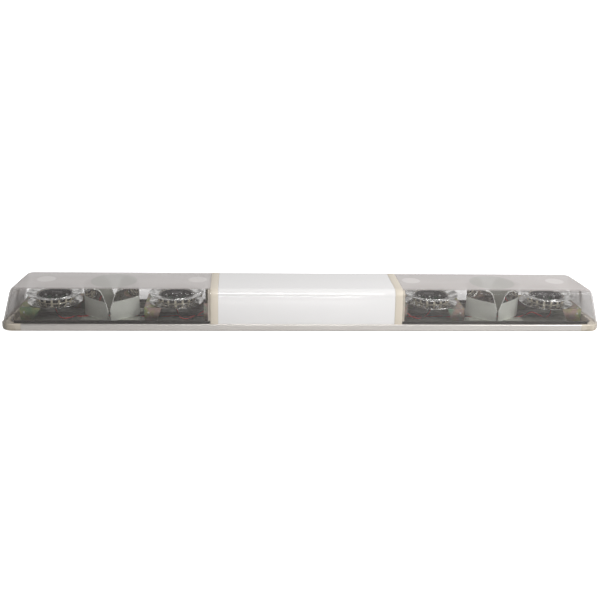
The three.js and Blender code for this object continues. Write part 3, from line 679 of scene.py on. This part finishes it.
def joiner_bands():
    """Cream bands over the joints, each with a tongue that the lenses' edges rest on."""
    tongue = LENS_WALL + TOUCH
    low, high = BAND_INSIDE - TONGUE_REACH, BAND_OUTSIDE + TONGUE_REACH
    square = math.radians(69)
    for hand, side in SIDES:
        work = lens_shell(BAND_INSIDE, BAND_OUTSIDE, -BAND_PROUD, LENS_WALL)
        absorbed(work, lens_shell(low, high, tongue, tongue + TONGUE_WALL))
        bmesh.ops.recalc_face_normals(work, faces=work.faces)
        rims = [edge for edge in work.edges if edge.is_manifold and edge.calc_face_angle(0) > square
                and max(vert.co.x for vert in edge.verts) < BAND_OUTSIDE + TOUCH
                and min(vert.co.x for vert in edge.verts) > BAND_INSIDE - TOUCH]
        bmesh.ops.bevel(
            work, geom=rims, offset=BAND_EDGE, offset_type="OFFSET", segments=2, profile=0.5,
            affect="EDGES", material=-1,
        )
        for vert in work.verts:
            vert.co.z = max(vert.co.z, LENS_BOTTOM)
        if side < 0:
            mirrored(work)
        finished(f"cream_band_{hand}", work, [CREAM], "base", [f"joiner_band_{hand}"], 40)


# ---- Base and end caps ----

RAIL_EDGE = 0.6 * MM
GROOVES = 4
GROOVE_DEPTH = 1 * MM
GROOVE_WIDTH = 1.3 * MM
GROOVE_PITCH = 3.5 * MM
GROOVE_EDGE = 0.25 * MM


def base_half_section():
    """The right-hand (+Y) half of the extrusion's outline, from the middle of the underside."""
    middle = RAIL_MIDDLE
    points = [
        (middle - SLOT_HALF, 0), (middle - SLOT_HALF, BASE_SKIN), (middle - CAVITY_HALF, BASE_SKIN),
        (middle - CAVITY_HALF, RAIL_TOP - BASE_SKIN), (middle + CAVITY_HALF, RAIL_TOP - BASE_SKIN),
        (middle + CAVITY_HALF, BASE_SKIN), (middle + SLOT_HALF, BASE_SKIN), (middle + SLOT_HALF, 0),
    ]
    points += arc((HALF_DEPTH - KEEL_ROUND, KEEL_ROUND), KEEL_ROUND, -1, 0, 8)
    points += arc((HALF_DEPTH - LIP_ROUND, LIP_TOP - LIP_ROUND), LIP_ROUND, 0, 1, 6)
    floor_edge = HALF_DEPTH - LIP_WIDTH
    points += [
        (floor_edge, LIP_TOP), (floor_edge, BASE_SKIN),
        (middle + RAIL_HALF, BASE_SKIN), (middle + RAIL_HALF, RAIL_TOP - RAIL_EDGE),
        (middle + RAIL_HALF - RAIL_EDGE, RAIL_TOP), (middle - RAIL_HALF + RAIL_EDGE, RAIL_TOP),
        (middle - RAIL_HALF, RAIL_TOP - RAIL_EDGE), (middle - RAIL_HALF, BASE_SKIN),
    ]
    return points


def aluminium_base():
    """The extrusion, plain aluminium outside, with painted shade darkening its inner floor and rails."""
    half = base_half_section()
    section = half + [(-y, z) for y, z in reversed(half)]
    work = bmesh.new()
    along_x(work, section, -BASE_END, BASE_END)
    for face in work.faces:
        middle = face.calc_center_median()
        inside = abs(middle.y) < HALF_DEPTH - LIP_WIDTH + TOUCH and middle.z > BASE_SKIN - TOUCH
        # Faces of the inner floor and rails take the painted shade material.
        face.material_index = 1 if inside and abs(face.normal.x) < 0.5 else 0
    finished(
        "aluminium_base", work, [ALUMINIUM, PAINTED_SHADE], "base", ["base_extrusion"], 32,
    )


def cap_keel():
    """Levels of the cap's rounded lower edge."""
    return [
        (KEEL_ROUND + z, KEEL_ROUND - x, KEEL_ROUND - x)
        for x, z in arc((0, 0), KEEL_ROUND, -1, 0, 8)
    ]


def cap_ribs(keel):
    """Levels of the cap's end, with its grooves, up to where the lip rounds over."""
    levels = keel[:5]
    for groove in reversed(range(GROOVES)):
        high = LIP_TOP - GROOVE_PITCH * (groove + 1)
        low = high - GROOVE_WIDTH
        below = [inset for z, inset, _ in keel if z <= low]
        outside = below[-1] if low < KEEL_ROUND and below else 0
        deep = outside + GROOVE_DEPTH
        levels += [
            (low - GROOVE_EDGE, outside, outside), (low, deep, deep),
            (high, deep, deep), (high + GROOVE_EDGE, outside, outside),
        ]
    return sorted(levels)


def cap_block(levels, x0, x1):
    """A length of the cap, from its lower edge over the lip and down to its hollow's floor."""
    lip = [
        (LIP_TOP - LIP_ROUND + z, LIP_ROUND - x, LIP_ROUND - x)
        for x, z in arc((0, 0), LIP_ROUND, 0, 1, 6)
    ]
    hollow = [(LIP_TOP, CAP_WALL, CAP_WALL), (BASE_SKIN, CAP_WALL, CAP_WALL)]
    block = bmesh.new()
    plan = plan_outline(HALF_LENGTH, HALF_DEPTH, CAP_CORNER, 14, 6)
    stacked(block, plan, [*levels, *lip, *hollow])
    bmesh.ops.contextual_create(block, geom=open_edges(block))
    cut_at(block, x0, 1)
    cut_at(block, x1, -1)
    bmesh.ops.holes_fill(block, edges=open_edges(block), sides=0)
    return block


def end_caps():
    """Cream caps, each a plain length beside the base and a ribbed end."""
    keel = cap_keel()
    ribs_start = BASE_END + CAP_PLAIN
    for hand, side in SIDES:
        work = cap_block(keel, BASE_END + TOUCH, ribs_start)
        absorbed(work, cap_block(cap_ribs(keel), ribs_start, HALF_LENGTH))
        if side < 0:
            mirrored(work)
        finished(f"cream_cap_{hand}", work, [CREAM], "base", [f"end_cap_{hand}"], 30)


# ---- CAD nodes that keep their shape ----

def dressed(node, material):
    """Gives a CAD node its finish, and leaves its shape alone."""
    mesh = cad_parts[node].data
    mesh.materials.clear()
    mesh.materials.append(material)


def dress_nodes():
    for node in ("front_gasket", "rear_gasket", "supply_grommet"):
        dressed(node, RUBBER)
    dressed("led_tray", POWDER)
    dressed("sign_led_board_front", WHITE)
    dressed("sign_led_board_rear", WHITE)
    dressed("control_box", BLACK)
    for hand, _ in SIDES:
        dressed(f"bulkhead_{hand}", ZINC)
        for end in ("front", "rear"):
            dressed(f"cap_screw_{hand}_{end}", STEEL)
    for number in MODULES:
        dressed(f"module_{number}_bracket", ZINC)


# ---- Light modules ----

MODULE_RADIUS = 68 * MM
DRUM_RADIUS = 44.3 * MM
DRUM_INSIDE = DRUM_RADIUS - 4.3 * MM
DRUM_FACE = DRUM_RADIUS - 1.4 * MM
RING_INSIDE = DRUM_RADIUS + 0.6 * MM
RING_OUTSIDE = RING_INSIDE + 2.5 * MM
RING_RAIL = 1.2 * MM
RING_EDGE = 0.3 * MM
CELLS = 16
CELL_POST_HALF = 2.6 * MM
LAMP_HALF = 4.4 * MM
OPTIC_RADIUS = 2.4 * MM
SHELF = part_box("module_1_bracket")[1].z
GALLERY_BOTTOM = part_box("module_1_lower_reflector")[1].z
GALLERY_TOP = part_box("module_1_cell_ring")[1].z
DISH_SHEET = 0.5 * MM
DISH_STEPS = 12
RIM_ROLL = 0.75 * MM
SEAT_INSIDE = 28.3 * MM
BOARD_RADIUS = 39.2 * MM
BOARD_BOTTOM = SHELF + 1.7 * MM
BOARD_TOP = SHELF + 3.3 * MM
SCREW_RADIUS = 2.4 * MM

# Parts on the driver board, in millimetres: places from its middle, and sizes.
REGULATOR_PLACES = (-23.6, -7.9, 7.9, 23.6)
RESISTOR_PITCH = 5.5
CAPACITORS = ((-27, 15, 3.4, 9), (27, 15, 3.4, 9), (-18, -22, 4, 8), (0, 13.5, 2.6, 7))
BOARD_SCREWS = ((-33, -6), (33, -6), (0, -33))


def spoked(x, angle):
    """Turns a thing that is drawn on +X about the module's upright axis."""
    return Matrix.Translation((x, 0, 0)) @ Matrix.Rotation(angle, 4, "Z")


def dish(work, x, seat, rim):
    """A curved reflector ring from the cell ring out to its rolled rim."""
    bottom, top = [], []
    for step in range(DISH_STEPS + 1):
        share = step / DISH_STEPS
        r = RING_INSIDE + 0.4 * MM + (MODULE_RADIUS - RING_INSIDE - 1.2 * MM) * share
        z = seat + (rim - seat) * (0.55 * share + 0.45 * share * share)
        top.append((r, z + DISH_SHEET))
        bottom.append((r, z))
    edge = (MODULE_RADIUS - 0.8 * MM, (top[-1][1] + bottom[-1][1]) / 2)
    roll = arc(edge, RIM_ROLL, -1, 1, 6)
    lathed(work, [*bottom, *roll, *reversed(top)], 128, Matrix.Translation((x, 0, 0)))


def lower_dish(number, x):
    node = f"module_{number}_lower_reflector"
    work = bmesh.new()
    dish(work, x, GALLERY_BOTTOM - 0.6 * MM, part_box(node)[0].z + 1 * MM)
    seat_top = SHELF + 1.4 * MM
    seat = [
        (SEAT_INSIDE, SHELF + TOUCH), (46 * MM, SHELF + TOUCH),
        (RING_OUTSIDE, GALLERY_BOTTOM - 0.8 * MM), (RING_OUTSIDE, GALLERY_BOTTOM),
        (RING_INSIDE, GALLERY_BOTTOM), (RING_INSIDE - 0.3 * MM, seat_top), (SEAT_INSIDE, seat_top),
    ]
    lathed(work, seat, 96, Matrix.Translation((x, 0, 0)))
    finished(f"lower_dish_{number}", work, [CHROME], "base", [node])


def upper_dish(number, x):
    node = f"module_{number}_upper_reflector"
    base = GALLERY_TOP + TOUCH
    inside = RING_INSIDE - 0.4 * MM
    work = bmesh.new()
    dish(work, x, base + 0.6 * MM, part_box(node)[1].z - 0.8 * MM)
    collar = [
        (inside, base), (RING_OUTSIDE, base), (RING_OUTSIDE, base + 1.2 * MM),
        *arc((RING_INSIDE + 1 * MM, base + 1.2 * MM), 0.7 * MM, 0, 2, 6), (inside, base + 1.1 * MM),
    ]
    lathed(work, collar, 96, Matrix.Translation((x, 0, 0)))
    finished(f"upper_dish_{number}", work, [CHROME], "base", [node])


def cell_ring(number, x):
    """Two rails with a post between each pair of windows."""
    low = GALLERY_BOTTOM + TOUCH
    edge = RING_OUTSIDE - RING_EDGE
    work = bmesh.new()
    for z0, z1 in ((low, low + RING_RAIL), (GALLERY_TOP - RING_RAIL, GALLERY_TOP)):
        section = [
            (RING_INSIDE, z0), (edge, z0), (RING_OUTSIDE, z0 + RING_EDGE),
            (RING_OUTSIDE, z1 - RING_EDGE), (edge, z1), (RING_INSIDE, z1),
        ]
        lathed(work, section, 96, Matrix.Translation((x, 0, 0)))
    post_low = (RING_INSIDE, -CELL_POST_HALF, low + 0.8 * MM)
    post_high = (RING_OUTSIDE - 0.1 * MM, CELL_POST_HALF, GALLERY_TOP - 0.8 * MM)
    for cell in range(CELLS):
        slab(work, post_low, post_high, 0.5 * MM, spoked(x, cell * TAU / CELLS))
    finished(
        f"louvre_ring_{number}", work, [IVORY], "base", [f"module_{number}_cell_ring"],
    )


def led_drum(number, x):
    """A flat-sided drum with a lamp and its optic behind each window."""
    top = GALLERY_TOP + 0.4 * MM
    section = [(DRUM_INSIDE, BOARD_BOTTOM), (DRUM_FACE, BOARD_BOTTOM), (DRUM_FACE, top), (DRUM_INSIDE, top)]
    work = bmesh.new()
    lathed(work, section, CELLS, spoked(x, 0))
    middle = (GALLERY_BOTTOM + GALLERY_TOP) / 2
    face = DRUM_FACE * math.cos(TAU / CELLS / 2)
    lamp_low = (face - 0.6 * MM, -LAMP_HALF, middle - LAMP_HALF)
    lamp_high = (face + 0.9 * MM, LAMP_HALF, middle + LAMP_HALF)
    flat = Matrix.Translation((face + 0.5 * MM, 0, middle)) @ Matrix.Diagonal((0.45, 1, 1, 1))
    for cell in range(CELLS):
        turn = spoked(x, (cell + 0.5) * TAU / CELLS)
        slab(work, lamp_low, lamp_high, 0.5 * MM, turn)
        optic = bmesh.new()
        bmesh.ops.create_uvsphere(optic, u_segments=16, v_segments=8, radius=OPTIC_RADIUS)
        absorbed(work, optic, turn @ flat, 1)
    finished(
        f"lamp_drum_{number}", work, [DARK, OPTIC], "base", [f"module_{number}_led_drum"],
    )


def black_parts(work, centre):
    """The choke, the regulators and a row of small resistors."""
    top = BOARD_TOP
    slab(work, (-13 * MM, 20.2 * MM, top - 0.5 * MM), (13 * MM, 30.6 * MM, top + 11.8 * MM),
         1.2 * MM, centre, 3, 1)
    for place in REGULATOR_PLACES:
        slab(work, ((place - 2.8) * MM, 4.2 * MM, top - 0.3 * MM),
             ((place + 2.8) * MM, 10.8 * MM, top + 3.9 * MM), 0.4 * MM, centre, 2, 1)
    for index in range(-4, 5):
        place = index * RESISTOR_PITCH
        slab(work, ((place - 1.2) * MM, -8.6 * MM, top - 0.2 * MM),
             ((place + 1.2) * MM, -6.9 * MM, top + 0.9 * MM), 0.15 * MM, centre, 2, 1)


def capacitor(work, place, radius, height):
    """A can with a rolled top edge."""
    top = BOARD_TOP + height
    can = [
        (0, BOARD_TOP), (radius, BOARD_TOP), (radius, top - 0.7 * MM),
        (radius - 0.4 * MM, top - 0.2 * MM), (radius - 1 * MM, top),
        (radius - 1.2 * MM, top - 0.3 * MM), (0, top - 0.3 * MM),
    ]
    lathed(work, can, 32, Matrix.Translation(place), 2)


def driver_board(number, x):
    work = bmesh.new()
    centre = Matrix.Translation((x, 0, 0))
    board = [(0, BOARD_BOTTOM), (BOARD_RADIUS, BOARD_BOTTOM), (BOARD_RADIUS, BOARD_TOP), (0, BOARD_TOP)]
    lathed(work, board, 64, centre)
    black_parts(work, centre)
    for place_x, place_y, radius, height in CAPACITORS:
        capacitor(work, (x + place_x * MM, place_y * MM, 0), radius * MM, height * MM)
    for place_x, place_y in BOARD_SCREWS:
        pan_screw(work, (x + place_x * MM, place_y * MM, BOARD_TOP), 2.6 * MM, material=2)
    finished(
        f"power_board_{number}", work, [GREEN, BLACK, STEEL], "base",
        [f"module_{number}_driver_board"],
    )


def bracket_screws(number, x):
    """Small screws on the bracket's front leg and on its shelf."""
    side = math.copysign(1, x)
    low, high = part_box(f"module_{number}_bracket")
    outer = high.x if side > 0 else low.x
    work = bmesh.new()
    facing = Matrix.Rotation(TAU / 4, 4, "X")
    for z in (12 * MM, 38 * MM):
        pan_screw(work, (outer - side * 10 * MM, low.y, z), SCREW_RADIUS, facing)
    for y in (low.y + 8 * MM, high.y - 8 * MM):
        pan_screw(work, (outer - side * 7 * MM, y, high.z), SCREW_RADIUS)
    finished(f"bracket_screws_{number}", work, [STEEL])


def light_modules():
    for number in MODULES:
        low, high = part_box(f"module_{number}_lower_reflector")
        x = (low.x + high.x) / 2
        lower_dish(number, x)
        upper_dish(number, x)
        cell_ring(number, x)
        led_drum(number, x)
        driver_board(number, x)
        bracket_screws(number, x)


# ---- Deflector mirrors ----

MIRROR_DEPTH = 116 * MM
MIRROR_GAP = 2.5 * MM
MIRROR_SPREAD = 68 * MM
MIRROR_SHEET = 1 * MM
MIRROR_FOOT = RAIL_TOP + TOUCH + 0.75 * MM
MIRROR_TOP = 98 * MM
FOOT_SHEET = 1.5 * MM
FOOT_START = 12 * MM
FOOT_END = 73 * MM
FOOT_SCREW = 66 * MM
HEM_RADIUS = 1 * MM
HEM_STEPS = 40

# The sheet's front edge: how far it curls out in millimetres, and its share of the height.
MIRROR_EDGE = (
    (0, 0), (0, 0.19), (0.6, 0.36), (3.5, 0.5), (8, 0.66), (12, 0.81), (17, 0.92), (24, 0.98), (32, 1),
)


def smooth_curve(points, place):
    """A point on a Catmull-Rom curve through the points, at a place from 0 to 1."""
    spans = len(points) - 1
    span = min(int(place * spans), spans - 1)
    t = place * spans - span
    before = points[max(span - 1, 0)]
    start, end = points[span], points[span + 1]
    after = points[min(span + 2, spans)]
    return tuple(
        0.5 * (2 * b + (c - a) * t + (2 * a - 5 * b + 4 * c - d) * t * t + (3 * b - a - 3 * c + d) * t ** 3)
        for a, b, c, d in zip(before, start, end, after)
    )


def mirror_point(along, up):
    """A point of the sheet: along runs -1 to 1 from its front to its rear edge, up from 0 to 1."""
    curl, share = smooth_curve(MIRROR_EDGE, min(1, max(0, up)))
    offset = MIRROR_GAP + curl * MM
    swell = 1 - abs(along) ** 1.25
    z = MIRROR_FOOT + share * (MIRROR_TOP - MIRROR_FOOT)
    return Vector((offset + (MIRROR_SPREAD - offset) * swell, along * MIRROR_DEPTH / 2, z))


def bent_sheet():
    """The sheet itself, polished outside and plain inside."""
    work = bmesh.new()
    bmesh.ops.create_grid(work, x_segments=36, y_segments=28, size=1)
    for vert in work.verts:
        vert.co = mirror_point(vert.co.x, (vert.co.y + 1) / 2)
    bmesh.ops.recalc_face_normals(work, faces=work.faces)
    if sum(face.normal.x for face in work.faces) < 0:
        bmesh.ops.reverse_faces(work, faces=work.faces)
    for vert in work.verts:
        vert.co += vert.normal * (MIRROR_SHEET / 2 - 0.05 * MM)
    bmesh.ops.solidify(work, geom=list(work.faces), thickness=MIRROR_SHEET - 0.1 * MM)
    for face in work.faces:
        face.material_index = 0 if face.normal.x > 0.12 or abs(face.normal.y) > 0.9 else 1
    return work


def mirror_sheet(name, x, side, node):
    """One bent sheet on two feet, with a bright hem along its front and rear edges."""
    work = bent_sheet()
    floor = RAIL_TOP + TOUCH
    foot_top = floor + FOOT_SHEET
    for flip in (-1, 1):
        inner, outer = flip * (RAIL_MIDDLE - RAIL_HALF + 2 * MM), flip * (RAIL_MIDDLE + RAIL_HALF)
        low_y, high_y = sorted((inner, outer))
        slab(work, (FOOT_START, low_y, floor), (FOOT_END, high_y, foot_top), 0.3 * MM, material=1)
        pan_screw(work, (FOOT_SCREW, flip * RAIL_MIDDLE, foot_top), 2.6 * MM, material=1)
    if side < 0:
        mirrored(work)
    bmesh.ops.translate(work, verts=work.verts, vec=(x, 0, 0))
    finished(name, work, [POLISHED, MILL], "base", [node], 30)
    for end, along in (("front", -1), ("rear", 1)):
        rim = [mirror_point(along, step / HEM_STEPS) for step in range(HEM_STEPS + 1)]
        hem = [(x + side * (point.x + 0.3 * MM), point.y - along * 0.6 * MM, point.z) for point in rim]
        round_bar(f"{name}_{end}_hem", hem, HEM_RADIUS, HEM)


def mirrors():
    for hand, side in SIDES:
        outer_low, outer_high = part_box(f"mirror_{hand}_outer")
        inner_low, inner_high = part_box(f"mirror_{hand}_inner")
        middle = (min(outer_low.x, inner_low.x) + max(outer_high.x, inner_high.x)) / 2
        mirror_sheet(f"deflector_{hand}_outer", middle, side, f"mirror_{hand}_outer")
        mirror_sheet(f"deflector_{hand}_inner", middle, -side, f"mirror_{hand}_inner")


# ---- Leads, each a red and a black wire twisted along the route of its CAD node ----

LEAD_START = 51.1
LEAD_END = 70.3
LEAD_ROUTES = {
    1: [
        (-629, -14, LEAD_START), (-629, -14.5, 46), (-624, -28, 33), (-614, -36, 22), (-601, -37, 15.6),
        (-586, -33, 15.8), (-574, -20, 16.4), (-562, -8, 11), (-545, 2, 7), (-500, 6, 7),
        (-400, 6, 7), (-300, 6, 7), (-240, 6, 7), (-160, 6, 7), (-LEAD_END, 6, 7),
    ],
    2: [
        (-326, -14, LEAD_START), (-326, -14.5, 46), (-324, -28, 33), (-317, -36, 22), (-306, -37, 15.6),
        (-291, -37, 15.8), (-275, -38, 24), (-260, -38, 34), (-242, -38, 38), (-226, -32, 30),
        (-213, -18, 16), (-198, -8, 7), (-150, -6, 7), (-LEAD_END, -6, 7),
    ],
    3: [
        (326, -14, LEAD_START), (326, -14.5, 46), (318, -29, 33), (305, -36, 22), (290, -37, 15.8),
        (274, -38, 21), (258, -38, 34), (242, -38, 38), (226, -32, 30),
        (213, -18, 16), (198, -8, 7), (150, -6, 7), (LEAD_END, -6, 7),
    ],
    4: [
        (641, -14, LEAD_START), (641, -14.5, 46), (632, -33, 29), (617, -40, 22), (601, -38, 27),
        (586, -27, 32), (574, -14, 19), (562, -4, 9), (545, 4, 7), (500, 6, 7),
        (400, 6, 7), (300, 6, 7), (240, 6, 7), (160, 6, 7), (LEAD_END, 6, 7),
    ],
}
WIRE_RADIUS = 1.2 * MM
TWIST_RADIUS = 1.15 * MM
TWIST_PITCH = 55 * MM


def route_points(number):
    """The lead's route in even steps of about 2 mm."""
    knots = LEAD_ROUTES[number]
    fine = [Vector(smooth_curve(knots, step / 900)) * MM for step in range(901)]
    points, walked = [fine[0]], 0.0
    for start, end in zip(fine, fine[1:]):
        walked += (end - start).length
        if walked >= 2 * MM:
            points.append(end)
            walked = 0.0
    return points


def round_bar(name, points, radius, material):
    """A round bar or wire through the points."""
    curve = bpy.data.curves.new(name, "CURVE")
    curve.dimensions = "3D"
    curve.bevel_depth = radius
    curve.bevel_resolution = 3
    curve.use_fill_caps = True
    spline = curve.splines.new("POLY")
    spline.points.add(len(points) - 1)
    for place, point in zip(spline.points, points):
        place.co = (*point, 1)
    curve.materials.append(material)
    bar = bpy.data.objects.new(name, curve)
    bpy.context.scene.collection.objects.link(bar)
    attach(bar, "base")
    return bar


def twisted_wire(name, points, phase, material):
    """One wire that winds round the route's points."""
    walked = 0.0
    twisted = []
    for index, point in enumerate(points):
        ahead = points[min(index + 1, len(points) - 1)] - points[max(index - 1, 0)]
        if index:
            walked += (point - points[index - 1]).length
        sideways = ahead.cross(Vector((0, 0, 1)))
        if sideways.length < 0.2 * ahead.length:
            sideways = ahead.cross(Vector((1, 0, 0)))
        sideways.normalize()
        upwards = sideways.cross(ahead).normalized()
        angle = walked / TWIST_PITCH * TAU + phase
        twisted.append(point + TWIST_RADIUS * (math.cos(angle) * sideways + math.sin(angle) * upwards))
    return round_bar(name, twisted, WIRE_RADIUS, material)


def leads():
    for number in LEAD_ROUTES:
        points = route_points(number)
        red = twisted_wire(f"red_wire_{number}", points, 0, RED_SLEEVE)
        twisted_wire(f"black_wire_{number}", points, TAU / 2, BLACK_SLEEVE)
        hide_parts(f"module_{number}_lead")


# ---- Stage ----

CAMERA_PLACE = (-0.1685, -2.2001, 0.785)
CAMERA_LENS = 54.43
CAMERA_SENSOR = 36
CAMERA_YAW = math.radians(4.06)
CAMERA_PITCH = math.radians(18.36)
CAMERA_ROLL = math.radians(1.46)
TABLE_HALF = 60
TABLE_DROP = 0.2 * MM

# Each lamp's place, the point it aims at, its size in metres and its power in watts.
LAMPS = {
    "key": ((1.4, -0.9, 1.3), (0.25, 0, 0.05), (1.3, 0.9), 25),
    "strip": ((-0.05, -1.0, 1.0), (0, 0, 0.06), (0.9, 0.12), 7.5),
    "card": ((-0.01, -1.12, 0.004), (-0.01, -1.12, 1), (0.62, 0.24), 15),
}


def front_camera():
    """The camera stands in front, a little to the left and above."""
    data = bpy.data.cameras.new("camera")
    data.lens = CAMERA_LENS
    data.sensor_width = CAMERA_SENSOR
    camera = bpy.data.objects.new("camera", data)
    bpy.context.scene.collection.objects.link(camera)
    level = math.cos(CAMERA_PITCH)
    ahead = Vector((math.sin(CAMERA_YAW) * level, math.cos(CAMERA_YAW) * level, -math.sin(CAMERA_PITCH)))
    right = ahead.cross(Vector((0, 0, 1))).normalized()
    up = right.cross(ahead)
    right_rolled = math.cos(CAMERA_ROLL) * right + math.sin(CAMERA_ROLL) * up
    up_rolled = math.cos(CAMERA_ROLL) * up - math.sin(CAMERA_ROLL) * right
    turn = Matrix((right_rolled, up_rolled, -ahead)).transposed().to_4x4()
    camera.matrix_world = Matrix.Translation(CAMERA_PLACE) @ turn
    bpy.context.scene.camera = camera


def softbox(name, place, aim, size, power):
    """A rectangular lamp that the camera doesn't see."""
    data = bpy.data.lights.new(name, "AREA")
    data.shape = "RECTANGLE"
    data.size, data.size_y = size
    data.energy = power
    light = bpy.data.objects.new(name, data)
    bpy.context.scene.collection.objects.link(light)
    turn = (Vector(aim) - Vector(place)).to_track_quat("-Z", "Y").to_matrix().to_4x4()
    light.matrix_world = Matrix.Translation(place) @ turn
    light.visible_camera = False


def white_table():
    """A white sheet under the bar that stays white to the camera."""
    work = bmesh.new()
    bmesh.ops.create_grid(work, x_segments=1, y_segments=1, size=TABLE_HALF)
    bmesh.ops.translate(work, verts=work.verts, vec=(0, 0, -TABLE_DROP))
    mesh = bpy.data.meshes.new("table")
    work.to_mesh(mesh)
    work.free()
    table = bpy.data.objects.new("table", mesh)
    bpy.context.scene.collection.objects.link(table)
    paper = Finish("paper", (0.6, 0.6, 0.6), Roughness=0.9, Emission_Color=(1, 1, 1, 1))
    seen = paper.node("LightPath")
    paper.set("Emission Strength", 0.08 + 1.0 * seen)
    mesh.materials.append(paper.material)


def studio_world():
    """White behind and above, dark in front below the lamps, as in a small studio."""
    world = bpy.data.worlds.new("studio")
    world.use_nodes = True
    tree = world.node_tree
    parts = tree.nodes.new("ShaderNodeSeparateXYZ")
    tree.links.new(tree.nodes.new("ShaderNodeTexCoord").outputs[0], parts.inputs[0])
    x, y, z = (Socket(tree, output) for output in parts.outputs)
    light = ((x * 0.2 + y * 0.45 + z * 0.35 + 0.25) * 1.8).clamped()
    seen = Socket(tree, tree.nodes.new("ShaderNodeLightPath").outputs[0])
    join(tree, 0.03 + 0.66 * light * light + 1.0 * seen, tree.nodes["Background"].inputs["Strength"])
    tree.nodes["Background"].inputs["Color"].default_value = (1, 1, 1, 1)
    bpy.context.scene.world = world


def studio():
    white_table()
    studio_world()
    bpy.context.scene.view_settings.view_transform = "Standard"
    for name, lamp in LAMPS.items():
        softbox(name, *lamp)


front_camera()
studio()
aluminium_base()
end_caps()
clear_domes()
opal_cover()
joiner_bands()
dress_nodes()
light_modules()
mirrors()
leads()
